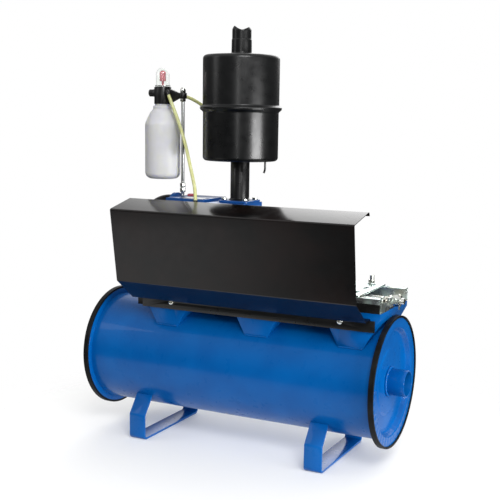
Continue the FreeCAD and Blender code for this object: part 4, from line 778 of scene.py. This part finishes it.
# ---------------------------------------------------------------- the tank
@dataclass
class Tank:
    """The reserve tank: rolled shell, pressed covers, rubber clamping rings, legs and saddles."""

    shell_r: float = 132.0
    shell_wall: float = 2.5
    shell_end: float = 6.2
    rim_r: float = 148.2
    sheet: float = 3.0
    seal_r: float = 150.0
    seal_width: float = 12.1
    seal_lip_r: float = 144.5
    seal_groove_r: float = 148.25
    dish_r: float = 121.0
    dish_depth: float = 13.6
    step_r: float = 78.0
    boss_r: float = 44.0
    boss_rise: float = 2.2
    wrinkles: int = 46
    rim_band: Point = (133.0, 15.0)
    edge_band: Point = (116.0, 9.0)
    stub_r: float = 30.15
    stub_bore: float = 27.25
    suction_r: float = 24.15
    suction_wall: float = 2.6
    strap_half: float = 27.0

    def __post_init__(self) -> None:
        """Find the tank's axis and its finishes."""
        low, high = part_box("seal_ring_right")
        self.axis_z = (low.z + high.z) / 2
        self.axis_y = (low.y + high.y) / 2
        self.axis_x = (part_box("seal_ring_left")[0].x + high.x) / 2
        self.origin = Vector((self.axis_x, self.axis_y, self.axis_z))
        self.half = (high.x - self.axis_x) / MM
        self.paint = TANK_BLUE.build()
        self.rubber = SEAL_RUBBER.build()

    def shell(self) -> None:
        """Build the shell with its flanges and suction stub."""
        half = self.half - self.shell_end
        top = self.rim_r - 0.15
        bore = self.shell_r - self.shell_wall
        flange = [(self.shell_r, half - 6), (top - 2, half - 5.6), (top, half - 4), (top, half - 0.4)]
        profile = [(r, -h) for r, h in flange]
        profile += [(bore, -half + 0.4), (bore, half - 0.4), *flange[::-1]]
        for k in range(1, 36):
            profile.append((self.shell_r, half - 6 - (2 * half - 12) * k / 36))

        def press(r: float, h: float, angle: float) -> Point:
            """Let the rolled sheet wander a little from a true cylinder.

            Args:
                r: Radius of a point.
                h: Its height along the axis.
                angle: Its angle about the axis.

            Returns:
                The point's new radius and height.
            """
            if abs(h) > half - 7 or r < self.shell_r - 1:
                return r, h
            spot = Vector((h * 0.009, math.cos(angle) * 1.3, math.sin(angle) * 1.3))
            return r + 0.35 * noise.noise(spot), h

        bm = lathe(profile, self.origin, Axis.X, 160, closed=True, shape=press)
        mesh = to_mesh(bm, "tank_shell", 50.0)
        finished("tank_shell_skin", mesh, self.paint, "frame", ["tank_shell"])
        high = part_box("tank_shell")[1]
        valve = middle("check_valve_body")
        outer, wall = self.suction_r, self.suction_wall
        sunk = 6.0
        foot = self.axis_z + (math.sqrt(self.shell_r ** 2 - 24 ** 2) - sunk) * MM
        tall = (high.z - foot) / MM
        stub = lathe([(outer, 0), (outer, tall), (outer - wall, tall), (outer - wall, 0)],
                     Vector((valve.x, valve.y, foot)), Axis.Z, 48, closed=True)
        finished("suction_stub", to_mesh(stub, "suction_stub", 35.0), self.paint, "frame")

    def cover(self, side: int) -> None:
        """Build one pressed end cover with its forming wrinkles.

        Args:
            side: 1 for the right cover, which has the outlet, and -1 for the left one.
        """
        face = self.half - 3.05
        floor = face - self.dish_depth
        front = rounded([(self.rim_r, face - 0.1), (self.dish_r + 1.5, face), (self.dish_r - 5, floor),
                         (self.step_r, floor - 0.3), (self.step_r - 6.0, floor + 1.8),
                         (self.boss_r, floor + self.boss_rise), (30.5, floor + self.boss_rise)],
                        [5.0, 6.0, 4.0, 4.0, 8.0], 6)
        fine = divided(front, 3.0)
        fine[-1] = front[-1] if side > 0 else (0.0, floor + self.boss_rise)
        back = [(r, h - self.sheet) for r, h in fine[::-1]]

        def press(r: float, h: float, angle: float) -> Point:
            """Add the wrinkles that pressing leaves near the rim, and a slight dishing.

            Args:
                r: Radius of a point.
                h: Its height along the axis.
                angle: Its angle about the axis.

            Returns:
                The point's new radius and height.
            """
            rim, edge = (max(0.0, 1 - abs(r - at) / wide) for at, wide in (self.rim_band, self.edge_band))
            low = 0.5 - 0.5 * math.sin(angle)
            drift = 1.7 * noise.noise(Vector((math.cos(angle), math.sin(angle), 4.0)))
            ripple = math.sin(angle * self.wrinkles + drift)
            depth = 0.55 * rim * low ** 1.5 + 0.75 * edge * low
            soft = 0.8 * noise.noise(Vector((r * math.cos(angle) * 0.018, r * math.sin(angle) * 0.018, side)))
            return r, side * (h + ripple * depth + soft * (r < 118))

        bm = lathe([*fine, *back], self.origin, Axis.X, 6 * self.wrinkles, closed=side > 0, shape=press)
        name = "end_cover_right" if side > 0 else "end_cover_left"
        finished(name + "_skin", to_mesh(bm, name, 50.0), self.paint, "frame", [name])
        if side > 0:
            tip = (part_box("end_cover_right")[1].x - self.axis_x) / MM
            pipe = rounded([(self.stub_r, floor), (self.stub_r, tip), (self.stub_bore, tip),
                            (self.stub_bore, floor - 4)], [1.0, 1.0], 3)
            bm = lathe(pipe, self.origin, Axis.X, 96, closed=True)
            finished("outlet_stub", to_mesh(bm, "outlet_stub", 50.0), self.paint, "frame")
            weld_r = 31.8
            ring = [self.origin + Vector((floor + 4.4, math.cos(a) * weld_r, math.sin(a) * weld_r)) * MM
                    for a in (math.tau * k / 60 for k in range(61))]
            WELD.lay("outlet_weld", [ring], self.paint, "tank_blue", 6.0)

    def seal(self, side: int) -> None:
        """Build one rubber clamping ring, rounded and gripping both rims.

        Args:
            side: 1 for the right ring and -1 for the left one.
        """
        out, back, lip, groove = self.half, self.half - self.seal_width, self.seal_lip_r, self.seal_groove_r
        outline = [(lip, back), (self.seal_r, back), (self.seal_r, out), (lip, out),
                   (lip, out - 3), (groove, out - 3), (groove, back + 3), (lip, back + 3)]
        path = closed_rounded(outline, 1.1, 3)

        def settle(r: float, h: float, angle: float) -> Point:
            """Let the stretched rubber wave a little.

            Args:
                r: Radius of a point.
                h: Its height along the axis.
                angle: Its angle about the axis.

            Returns:
                The point's new radius and height.
            """
            sway = 0.2 * noise.noise(Vector((math.cos(angle) * 2, math.sin(angle) * 2, side * 3.0)))
            return min(r, self.seal_r - 0.1) + min(0.0, sway), side * min(h + sway * 0.8, out - 0.02)

        bm = lathe(path, self.origin, Axis.X, 160, closed=True, shape=settle)
        name = "seal_ring_right" if side > 0 else "seal_ring_left"
        finished(name + "_skin", to_mesh(bm, name, 60.0), self.rubber, "frame", [name])

    def legs_and_saddles(self) -> None:
        """Refine the legs and saddles and weld them to the shell."""
        beads = []
        radius = (self.shell_r + 1.2) * MM
        for node in ("leg_left", "leg_right"):
            refined(node, self.paint, 0.7)
            low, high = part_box(node)
            for s in (-1, 1):
                z = high.z - 3.0 * MM
                y = self.axis_y + s * math.sqrt(radius ** 2 - (z - self.axis_z) ** 2)
                beads.append([Vector((low.x, y, z)), Vector((high.x, y, z))])
        for node in ("saddle_left", "saddle_middle", "saddle_right"):
            refined(node, self.paint, 0.9)
            low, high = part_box(node)
            mid = (low.x + high.x) / 2
            for y in (low.y, high.y):
                z = self.axis_z + math.sqrt(radius ** 2 - (y - self.axis_y) ** 2)
                beads.append([Vector((mid + s * self.strap_half * MM, y, z)) for s in (-1, 1)])
        WELD.lay("tank_welds", beads, self.paint, "tank_blue", 4.5)

    def build(self) -> None:
        """Build the whole tank."""
        self.shell()
        for side in (-1, 1):
            self.cover(side)
            self.seal(side)
        self.legs_and_saddles()


# ---------------------------------------------------------------- deck, guard and motor slide
@dataclass
class Deck:
    """The black base frame, the folded belt guard with its bar, and the stays behind it."""

    sheet: float = 1.5
    bend: float = 3.0
    top_back: float = 30.9
    lip_lean: float = 4.0
    lip_drop: float = 8.8
    top_fall: float = 20.2
    fold_in: float = 26.0
    fold_h: float = 70.0
    foot_in: float = 24.0
    foot_h: float = 20.7
    flange_h: float = 27.0

    def guard(self) -> None:
        """Build the folded belt guard as one bent sheet."""
        low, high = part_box("belt_guard")
        origin = Vector((0.0, low.y, low.z))
        deep = (high.y - low.y) / MM
        tall = (high.z - low.z) / MM
        flange = deep - self.sheet
        back = deep - self.top_back
        side = [(back + self.lip_lean, tall - self.lip_drop), (back, tall - 0.1), (0.2, tall - self.top_fall),
                (self.fold_in, self.fold_h), (deep - self.foot_in, self.foot_h), (flange, self.flange_h),
                (flange, 1.0)]
        radii = [self.bend + self.sheet] * 4 + [self.bend]
        outer = rounded(side, radii, 6)
        outline = outer + offset(outer, self.sheet)[::-1]
        x0, x1 = low.x / MM, high.x / MM

        def bow(x: float, y: float, z: float) -> Place:
            """Keep the thin sheet from lying perfectly flat.

            Args:
                x: Place along the guard.
                y: Place across it.
                z: Height.

            Returns:
                The place of the bowed sheet.
            """
            span = (x - x0) / (x1 - x0)
            free = math.sin(math.pi * span)
            dip = 0.35 * noise.noise(Vector((x * 0.006, z * 0.011, 1.0)))
            push = max(0.0, 0.45 + dip) * free * (40 < z < tall - 25)
            drop = 0.35 * free * (z > tall - 22)
            return x, y + push, z - drop

        bm = sweep_x(outline, x0, x1, origin, 48, bow)
        mesh = to_mesh(bm, "belt_guard", 40.0)
        finished("belt_guard_skin", mesh, GUARD_BLACK.build(), "frame", ["belt_guard"])

    def build(self) -> None:
        """Build the deck's pieces."""
        black = FRAME_BLACK.build()
        for node in ("base_frame", "pump_plate", "guard_bar", "guard_stays"):
            refined(node, black, 0.5)
        self.guard()


def offset(path: Sequence[Point], distance: float) -> list[Point]:
    """Shift an open 2-D path sideways.

    Args:
        path: The path's points.
        distance: How far it goes to its left.

    Returns:
        The shifted path.
    """
    result = []
    for k, point in enumerate(path):
        before = Vector(path[max(k - 1, 0)])
        after = Vector(path[min(k + 1, len(path) - 1)])
        along = (after - before).normalized()
        result.append((point[0] - along.y * distance, point[1] + along.x * distance))
    return result


@dataclass
class MotorSlide:
    """The zinc-plated rails, motor plate, clamps and belt tension screw."""

    screw_r: float = 7.0
    screw_pitch: float = 2.0
    screw_thread: float = 120.0
    clamp_r: float = 4.0
    clamp_pitch: float = 1.25
    clamp_thread: float = 10.4
    clamp_head_gap: float = 0.4
    clamp_inset: float = 6.5

    def build(self) -> None:
        """Build the slide's pieces."""
        zinc = ZINC.build()
        bright = BRIGHT_ZINC.build()
        for node in ("slide_rail_front", "slide_rail_rear", "end_plate", "motor_plate"):
            refined(node, zinc, 0.5)
        for node in ("plate_clamps", "tension_screw", "tension_nuts", "frame_fasteners"):
            refined(node, bright, 0.35)
        low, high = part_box("tension_screw")
        axis = Vector((low.x, (low.y + high.y) / 2, (low.z + high.z) / 2))
        THREAD.cut("tension_screw_thread", axis, self.screw_thread, self.screw_r, self.screw_pitch, Axis.X,
                   bright, "tension_screw")
        low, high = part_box("plate_clamps")
        inset = self.clamp_inset * MM
        start = high.z - (self.clamp_thread + self.clamp_head_gap) * MM
        for k, x in enumerate((low.x + inset, high.x - inset)):
            for j, y in enumerate((low.y + inset, high.y - inset)):
                THREAD.cut(f"clamp_thread_{k}_{j}", Vector((x, y, start)), self.clamp_thread, self.clamp_r,
                           self.clamp_pitch, Axis.Z, bright, "motor_slide")


# ---------------------------------------------------------------- pump
@dataclass
class Pump:
    """The vane pump's castings, its plate and plug, suction elbow, check valve and internals."""

    def build(self) -> None:
        """Build the pump's pieces."""
        blue = PUMP_BLUE.build()
        bright = BRIGHT_ZINC.build()
        for node in ("pump_body", "front_cover", "rear_cover", "exhaust_flange"):
            refined(node, blue, 0.8)
        for node in ("cover_screws", "pump_bolts", "pulley_screw", "check_valve_body"):
            refined(node, bright, 0.3)
        refined("pulley", CAST_IRON.build(), 0.4)
        refined("suction_elbow", HOSE_RUBBER.build(), 0.6)
        refined("data_plate", PLATE_GREY.build(), 0.3)
        refined("flush_plug", PLUG_RED.build(), 0.4)
        steel = TURNED_STEEL.build()
        dress(("pump_shaft", "shaft_bearings", "pulley_key", "valve_disc"), steel)
        dress(("pump_rotor",), CAST_IRON.build())
        dress(("rotor_vanes",), VANE_FIBRE.build())
        dress(("shaft_seal",), SEAL_RUBBER.build())


# ---------------------------------------------------------------- exhaust
@dataclass
class Exhaust:
    """The exhaust pipe, the two-shell silencer with its rolled seam, and the slit tail pipe."""

    shell_r: float = 89.0
    lower_r: float = 88.2
    bead_r: float = 95.5
    pipe_r: float = 22.3
    corner_r: float = 9.0
    dish_r: float = 40.0
    bead_h: float = 15.0
    bead_crest: float = 2.6
    wall: float = 1.5
    sleeve_gap: float = 31.0
    mouth_h: float = 14.0
    mouth_turn: float = 27.0
    mouth_cut: float = 0.72
    right_lip: float = 0.78
    lip_bend: float = 9.0
    drain_r: float = 2.3
    drain_route: tuple[Place, ...] = (
        (65, 0, 1), (65, 0, -9), (65, 0, -18), (63.2, 0, -24), (62, 0, -26))

    def build(self) -> None:
        """Build the silencer's pieces."""
        black = SILENCER_BLACK.build()
        low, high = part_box("silencer_lower")
        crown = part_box("silencer_upper")[1].z / MM
        axis = Vector((middle("silencer_upper").x, middle("silencer_upper").y, 0.0))
        seam = high.z / MM
        bottom = seam * 2 - crown
        half = self.bead_h / 2
        collar = self.pipe_r + 6
        lower = rounded([(self.pipe_r - 2, bottom + 0.6), (collar, bottom + 0.6), (self.dish_r, bottom + 0.1),
                         (self.lower_r, bottom + 0.1), (self.lower_r, seam - half - 1),
                         (self.bead_r - 0.4, seam - self.bead_crest), (self.bead_r - 0.4, seam - 0.2)],
                        [4.0, 20.0, self.corner_r, 4.0, 2.0], 8)
        upper = rounded([(self.pipe_r, crown - 0.5), (collar, crown - 0.5), (self.dish_r, crown),
                         (self.shell_r, crown), (self.shell_r, seam + half - 1),
                         (self.bead_r - 0.1, seam + self.bead_crest), (self.bead_r - 0.1, seam + 0.2)],
                        [4.0, 20.0, self.corner_r, 4.0, 2.2], 8)
        for name, outer in (("silencer_lower", lower), ("silencer_upper", upper)):
            inward = 1.2 if name.endswith("lower") else -1.2
            inner = [(max(r - self.wall, self.pipe_r - 2.1), h + inward * (r < 80)) for r, h in outer[::-1]]
            shell = lathe([*outer, *inner], axis, Axis.Z, 144, closed=True)
            finished(name + "_skin", to_mesh(shell, name, 50.0), black, "frame", [name])
        self.tail(axis, crown, black)
        self.drain(axis, bottom, black)
        refined("exhaust_pipe", black, 0.5)
        dress(("silencer_core",), TURNED_STEEL.build())

    def tail(self, axis: Vector, crown: float, finish: bpy.types.Material) -> None:
        """Build the tail pipe with its sleeve, flared foot and the weld round it, and its slit mouth.

        Args:
            axis: A point on the silencer's axis, in millimetres.
            crown: Height of the silencer's top in millimetres.
            finish: The black paint.
        """
        r = self.pipe_r
        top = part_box("tail_pipe")[1].z / MM
        step = top - self.sleeve_gap
        outer = rounded([(r + 4.0, crown - 0.3), (r + 1.2, crown + 6.0), (r + 0.9, step),
                         (r - 0.1, step + 1.2), (r - 0.1, top)], [4.0, 0.4, 0.4], 4)
        inner = [(r - 2.2, top), (r - 2.2, crown - 15), (r - 0.4, crown - 15), (r, crown - 0.6)]
        profile = [*divided(outer, 1.5), *inner]

        def mouth(radius: float, height: float, angle: float) -> Point:
            """Cut the mouth down at the front and back and bend its two lips inwards.

            Args:
                radius: Radius of a point.
                height: Its height.
                angle: Its angle about the axis.

            Returns:
                The point's new radius and height.
            """
            if height < top - self.mouth_h:
                return radius, height
            side = math.cos(angle - math.radians(self.mouth_turn))
            lip = abs(side) ** 1.3
            tall = lip if side < 0 else self.right_lip * lip
            part = (height - (top - self.mouth_h)) / self.mouth_h
            bend = self.lip_bend * max(0.0, part - 0.35) ** 1.5 * lip
            return radius - bend, height - self.mouth_h * self.mouth_cut * (1 - tall) * part

        bm = lathe(profile, axis, Axis.Z, 96, closed=True, shape=mouth)
        finished("slit_tail_pipe", to_mesh(bm, "slit_tail_pipe", 50.0), finish, "frame",
                 ["tail_pipe"])
        weld_r = r + 2.6
        circle = [axis + Vector((weld_r * math.cos(a), weld_r * math.sin(a), crown + 1.0)) * MM
                  for a in (math.tau * k / 48 for k in range(49))]
        WELD.lay("tail_weld", [circle], finish, "satin_black")

    def drain(self, axis: Vector, bottom: float, finish: bpy.types.Material) -> None:
        """Build the little bent drain pipe under the silencer.

        Args:
            axis: A point on the silencer's axis.
            bottom: Height of the silencer's underside in millimetres.
            finish: The black paint.
        """
        place = axis + Vector((0.0, 0.0, bottom)) * MM
        curve = smooth_tube("drain_pipe", [place + Vector(p) * MM for p in self.drain_route], self.drain_r, 4)
        holder = bpy.data.objects.new("drain_curve", curve)
        bpy.context.scene.collection.objects.link(holder)
        mesh = evaluated_mesh(holder, "drain_pipe")
        bpy.data.objects.remove(holder)
        finished("drain_pipe", mesh, finish, "frame")


# ---------------------------------------------------------------- oiler
@dataclass
class Oiler:
    """The drip oiler: rod, moulded head, blown bottle, sight dome, knob and the two oil tubes."""

    bottle_r: float = 42.8
    bottle_wall: float = 1.6
    shoulder_h: float = 46.0
    neck_r: float = 18.8
    neck_h: float = 13.0
    neck_ring: float = 4.2
    dome_r: float = 16.2
    dome_wall: float = 2.0
    dome_base: float = 1.9
    rod_r: float = 4.0
    rod_pitch: float = 1.25
    rod_thread: float = 36.0
    rod_thread_start: float = 16.5
    tube_d: float = 8.0
    front_length: float = 282.1
    rear_length: float = 334.6
    front_route: tuple[Place, ...] = (
        (-211, -18, 824), (-202, -19, 806), (-190, -19, 780), (-174, -21, 745), (-157, -27, 705),
        (-137, -42, 663), (-114, -66, 630), (-100, -80, 606), (-95, -88, 583))
    rear_route: tuple[Place, ...] = (
        (-225, 25, 824), (-211, 44, 825), (-188, 61, 816), (-158, 80, 792), (-126, 101, 757),
        (-98, 111, 716), (-82, 105, 674), (-75, 90, 637), (-72, 77, 609), (-71, 74, 588))
    frame_shift: Place = (-14.35, 31.71, 0.0)

    def bottle(self) -> None:
        """Build the blown bottle with its rounded foot, shoulder and mould seam."""
        low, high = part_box("oil_bottle")
        axis = Vector(((low.x + high.x) / 2, (low.y + high.y) / 2, 0.0))
        z0, z1 = low.z / MM, high.z / MM - self.neck_h
        r, wall = self.bottle_r, self.bottle_wall
        ring = self.neck_r + self.neck_ring
        outer = rounded([(0.0, z0 + 2.5), (18.0, z0 + 2.0), (24.0, z0), (r - 0.2, z0 + 1),
                         (r - 0.2, z1 - self.shoulder_h), (30.0, z1 - 20), (ring, z1 - 12), (ring, z1 - 5),
                         (self.neck_r, z1 - 3.5), (self.neck_r, z1 + self.neck_h)],
                        [4.0, 4.0, 15.0, 26.0, 16.0, 4.0, 1.0, 1.0], 9)
        inner = [(max(0.0, rr - wall), h + wall * (rr < 20 and h < z0 + 20)) for rr, h in outer[::-1]]

        def seam(radius: float, height: float, angle: float) -> Point:
            """Raise the thin line where the two halves of the mould met.

            Args:
                radius: Radius of a point.
                height: Its height.
                angle: Its angle about the axis.

            Returns:
                The point's new radius and height.
            """
            line = max(0.0, 1 - abs(math.sin(angle - 0.5)) * radius / 0.8) if radius > 5 else 0.0
            return min(radius + 0.25 * line, r - 0.02), height

        bm = lathe([*outer, *inner], axis, Axis.Z, 120, closed=False, shape=seam)
        mesh = to_mesh(bm, "oil_bottle", 60.0)
        finished("oil_bottle_skin", mesh, BOTTLE.build(), "bottle", ["oil_bottle"])

    def dome(self) -> None:
        """Build the clear sight dome over the drip guide."""
        low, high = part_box("sight_dome")
        axis = Vector(((low.x + high.x) / 2, (low.y + high.y) / 2, low.z))
        tall = (high.z - low.z) / MM
        r = self.dome_r
        bore = r - self.dome_wall
        base = r + self.dome_base
        shoulder = tall - r
        angles = [math.pi / 2 * k / 14 for k in range(14)]
        crown = [(r * math.cos(a), shoulder + r * math.sin(a)) for a in angles] + [(0.0, tall)]
        vault = [(bore * math.cos(a), shoulder + bore * math.sin(a)) for a in angles]
        vault.append((0.0, shoulder + bore))
        bm = lathe([(bore, 0.0), (base, 0.0), (base, 1.5), (r, 1.8), *crown], axis, Axis.Z, 64)
        inside = lathe([*vault[::-1], (bore, 0.0)], axis, Axis.Z, 64)
        mesh = bpy.data.meshes.new("inside")
        inside.to_mesh(mesh)
        inside.free()
        bm.from_mesh(mesh)
        bpy.data.meshes.remove(mesh)
        finished("sight_dome_skin", to_mesh(bm, "sight_dome", 50.0), DOME_CLEAR.build(), "frame",
                 ["sight_dome"])

    def tube(self, name: str, route: Sequence[Place],
             finish: bpy.types.Material) -> None:
        """Lay one oil tube along its route as a curve.

        Args:
            name: The CAD node that it stands for.
            route: Its points in millimetres.
            finish: The tube's plastic.
        """
        shift = Vector(self.frame_shift)
        points = [(Vector(place) + shift) * MM for place in route]
        curve = smooth_tube(name, points, self.tube_d / 2, 6)
        curve.resolution_u = 16
        piece = bpy.data.objects.new(name + "_hose", curve)
        bpy.context.scene.collection.objects.link(piece)
        curve.materials.append(finish)
        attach(piece, "frame")
        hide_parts(name)

    def build(self) -> None:
        """Build the oiler's pieces."""
        bright = BRIGHT_ZINC.build()
        black = HEAD_BLACK.build()
        refined("oiler_rod", ROD_STEEL.build(), 0.2)
        refined("oiler_hardware", bright, 0.3)
        for node in ("oiler_head", "feed_knob", "oil_fittings"):
            refined(node, black, 0.6)
        refined("drip_guide", RED_PLASTIC.build(), 0.3)
        refined("dip_tube", BOTTLE.build(), 0.2)
        self.bottle()
        self.dome()
        green = TUBE_GREEN.build()
        self.tube("oil_tube_front", self.front_route, green)
        self.tube("oil_tube_rear", self.rear_route, green)
        low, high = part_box("oiler_rod")
        axis = Vector(((low.x + high.x) / 2, (low.y + high.y) / 2, 0.0))
        foot = axis + Vector((0, 0, low.z + self.rod_thread_start * MM))
        THREAD.cut("rod_foot_thread", foot, self.rod_thread, self.rod_r, self.rod_pitch, Axis.Z, bright,
                   "frame")


def smooth_tube(name: str, points: Sequence[Vector], radius: float, roundness: int) -> bpy.types.Curve:
    """Draw a round tube along the smooth line that some points pull into shape.

    Args:
        name: The curve's name.
        points: Its control points, in metres.
        radius: The tube's radius in millimetres.
        roundness: Resolution of the tube's section.

    Returns:
        The curve.
    """
    curve = bpy.data.curves.new(name, "CURVE")
    curve.dimensions = "3D"
    spline = curve.splines.new("NURBS")
    spline.points.add(len(points) - 1)
    for point, place in zip(spline.points, points):
        point.co = (*place, 1.0)
    spline.order_u = 3
    spline.use_endpoint_u = True
    curve.bevel_depth = radius * MM
    curve.bevel_resolution = roundness
    curve.use_fill_caps = True
    return curve


# ---------------------------------------------------------------- studio
@dataclass(frozen=True)
class SoftBox:
    """One soft light, in metres and watts."""

    name: str
    place: Place
    target: Place
    size: Point
    power: float

    def hang(self) -> None:
        """Hang the light so that it looks at its target."""
        data = bpy.data.lights.new(self.name, "AREA")
        data.shape = "RECTANGLE"
        data.size, data.size_y = self.size
        data.energy = self.power
        lamp = bpy.data.objects.new(self.name, data)
        lamp.location = self.place
        aim = Vector(self.target) - Vector(self.place)
        lamp.rotation_euler = aim.to_track_quat("-Z", "Y").to_euler()
        bpy.context.scene.collection.objects.link(lamp)


@dataclass
class Studio:
    """A pale floor, soft lights and the camera."""

    camera_mm: Place = (1001.55, -1972.95, 773.95)
    yaw: float = 26.77
    pitch: float = 9.72
    roll: float = 0.87
    lens: float = 69.2
    rise: float = 0.0644
    floor_r: float = 0.85
    fade_start: float = 0.35
    floor_glow: float = 0.1
    room_low: float = 0.06
    room_high: float = 0.8
    panel: float = 2.8
    low_panel: float = 0.9
    lights: tuple[SoftBox, ...] = (
        SoftBox("key_box", (1.7, -2.3, 2.4), (0.0, 0.0, 0.35), (1.5, 1.1), 66.0),
        SoftBox("left_box", (-2.3, -1.6, 1.7), (-0.1, 0.0, 0.4), (0.8, 1.4), 6.0),
        SoftBox("right_box", (2.6, -0.6, 0.35), (0.35, 0.03, 0.2), (1.4, 0.6), 62.0),
        SoftBox("front_strip", (0.75, -2.4, 0.85), (-0.03, 0.04, 0.8), (0.12, 1.1), 4.0))

    def camera(self) -> None:
        """Place the camera."""
        data = bpy.data.cameras.new("camera")
        data.lens = self.lens
        data.sensor_width = 36.0
        data.shift_y = self.rise
        data.clip_end = 50.0
        yaw, pitch, roll = (math.radians(a) for a in (self.yaw, self.pitch, self.roll))
        ahead = Vector((-math.sin(yaw) * math.cos(pitch), math.cos(yaw) * math.cos(pitch), -math.sin(pitch)))
        level = Vector((math.cos(yaw), math.sin(yaw), 0.0))
        above = level.cross(ahead)
        right = math.cos(roll) * level + math.sin(roll) * above
        up = -math.sin(roll) * level + math.cos(roll) * above
        turn = Matrix((right, up, -ahead)).transposed().to_4x4()
        camera = bpy.data.objects.new("camera", data)
        camera.matrix_world = Matrix.Translation(Vector(self.camera_mm) * MM) @ turn
        bpy.context.scene.collection.objects.link(camera)
        bpy.context.scene.camera = camera

    def floor(self) -> None:
        """Lay a pale round floor that fades into the backdrop."""
        bm = bmesh.new()
        bmesh.ops.create_circle(bm, cap_ends=True, cap_tris=True, segments=96, radius=self.floor_r)
        mesh = bpy.data.meshes.new("studio_floor")
        bm.to_mesh(mesh)
        bm.free()
        material, tree, place = start_material("pale_studio_floor")
        cloud = add(tree, "ShaderNodeTexNoise", {"Vector": place, "Scale": 0.6, "Detail": 2.0})
        colour = blend_colours(tree, cloud.outputs[0], "#f3f3f2", "#f7f7f6")
        shader = add(tree, "ShaderNodeBsdfPrincipled", {
            "Base Color": colour, "Roughness": 0.9, "Specular IOR Level": 0.1,
            "Emission Color": linear("#ffffff"), "Emission Strength": self.floor_glow})
        away = add(tree, "ShaderNodeVectorMath", {0: place}, operation="LENGTH")
        fade = remap(tree, away.outputs["Value"], self.fade_start, self.floor_r * 0.97, 0.0, 1.0)
        clear = add(tree, "ShaderNodeBsdfTransparent")
        edge = add(tree, "ShaderNodeMixShader", {0: fade, 1: shader.outputs[0], 2: clear.outputs[0]})
        close_material(tree, edge)
        mesh.materials.append(material)
        floor = bpy.data.objects.new("studio_floor", mesh)
        floor.location = (0.0, 0.0, -0.0005)
        bpy.context.scene.collection.objects.link(floor)

    def world(self) -> None:
        """Surround the set with a white backdrop and a room that is dark low down and bright above.

        A soft bright panel high behind the set, fading to its left, is what the folded guard's top
        mirrors. A fainter one, low in front and to the left, is what the guard's front mirrors.
        """
        world = bpy.data.worlds.new("studio_room")
        world.use_nodes = True
        tree = world.node_tree
        tree.nodes.clear()
        direction = add(tree, "ShaderNodeTexCoord").outputs["Generated"]
        split = add(tree, "ShaderNodeSeparateXYZ", {0: direction})
        x, y, z = (split.outputs[k] for k in range(3))
        room = remap(tree, z, 0.0, 0.9, self.room_low, self.room_high)
        panel = remap(tree, x, -0.62, -0.33, 0.0, self.panel)
        for value, low, high, to_low, to_high in ((x, -0.05, 0.3, 1.0, 0.0), (y, 0.3, 0.6, 0.0, 1.0),
                                                  (z, 0.05, 0.2, 0.0, 1.0), (z, 0.62, 0.8, 1.0, 0.0)):
            mask = remap(tree, value, low, high, to_low, to_high)
            panel = add(tree, "ShaderNodeMath", {0: panel, 1: mask}, operation="MULTIPLY").outputs[0]
        light = add(tree, "ShaderNodeMath", {0: room, 1: panel}, operation="ADD").outputs[0]
        patch = remap(tree, x, -0.5, -0.36, self.low_panel, 0.0)
        for value, low, high, to_low, to_high in ((y, -0.6, -0.4, 1.0, 0.0), (z, -0.3, -0.2, 1.0, 0.0)):
            mask = remap(tree, value, low, high, to_low, to_high)
            patch = add(tree, "ShaderNodeMath", {0: patch, 1: mask}, operation="MULTIPLY").outputs[0]
        light = add(tree, "ShaderNodeMath", {0: light, 1: patch}, operation="ADD").outputs[0]
        rays = add(tree, "ShaderNodeLightPath")
        seen = add(tree, "ShaderNodeMath", {0: rays.outputs["Is Camera Ray"],
                                            1: rays.outputs["Is Transmission Ray"]}, operation="MAXIMUM")
        strength = add(tree, "ShaderNodeMix", {0: seen.outputs[0], 2: light, 3: 1.0}, data_type="FLOAT")
        glow = add(tree, "ShaderNodeBackground", {
            "Color": linear("#ffffff"), "Strength": strength.outputs[0]})
        add(tree, "ShaderNodeOutputWorld", {"Surface": glow.outputs[0]})
        bpy.context.scene.world = world

    def build(self) -> None:
        """Build the studio."""
        self.camera()
        self.floor()
        self.world()
        for box in self.lights:
            box.hang()


WELD = WeldBead()
THREAD = ThreadTurns()


def main() -> None:
    """Build every part of the set in order."""
    logging.basicConfig(level=logging.INFO, format="%(message)s")
    bpy.context.scene.view_settings.view_transform = "Standard"
    for part in (Studio(), Tank(), Deck(), MotorSlide(), Pump(), Exhaust(), Oiler()):
        part.build()
        LOG.info("built %s", type(part).__name__)


if __name__ == "__main__":
    main()
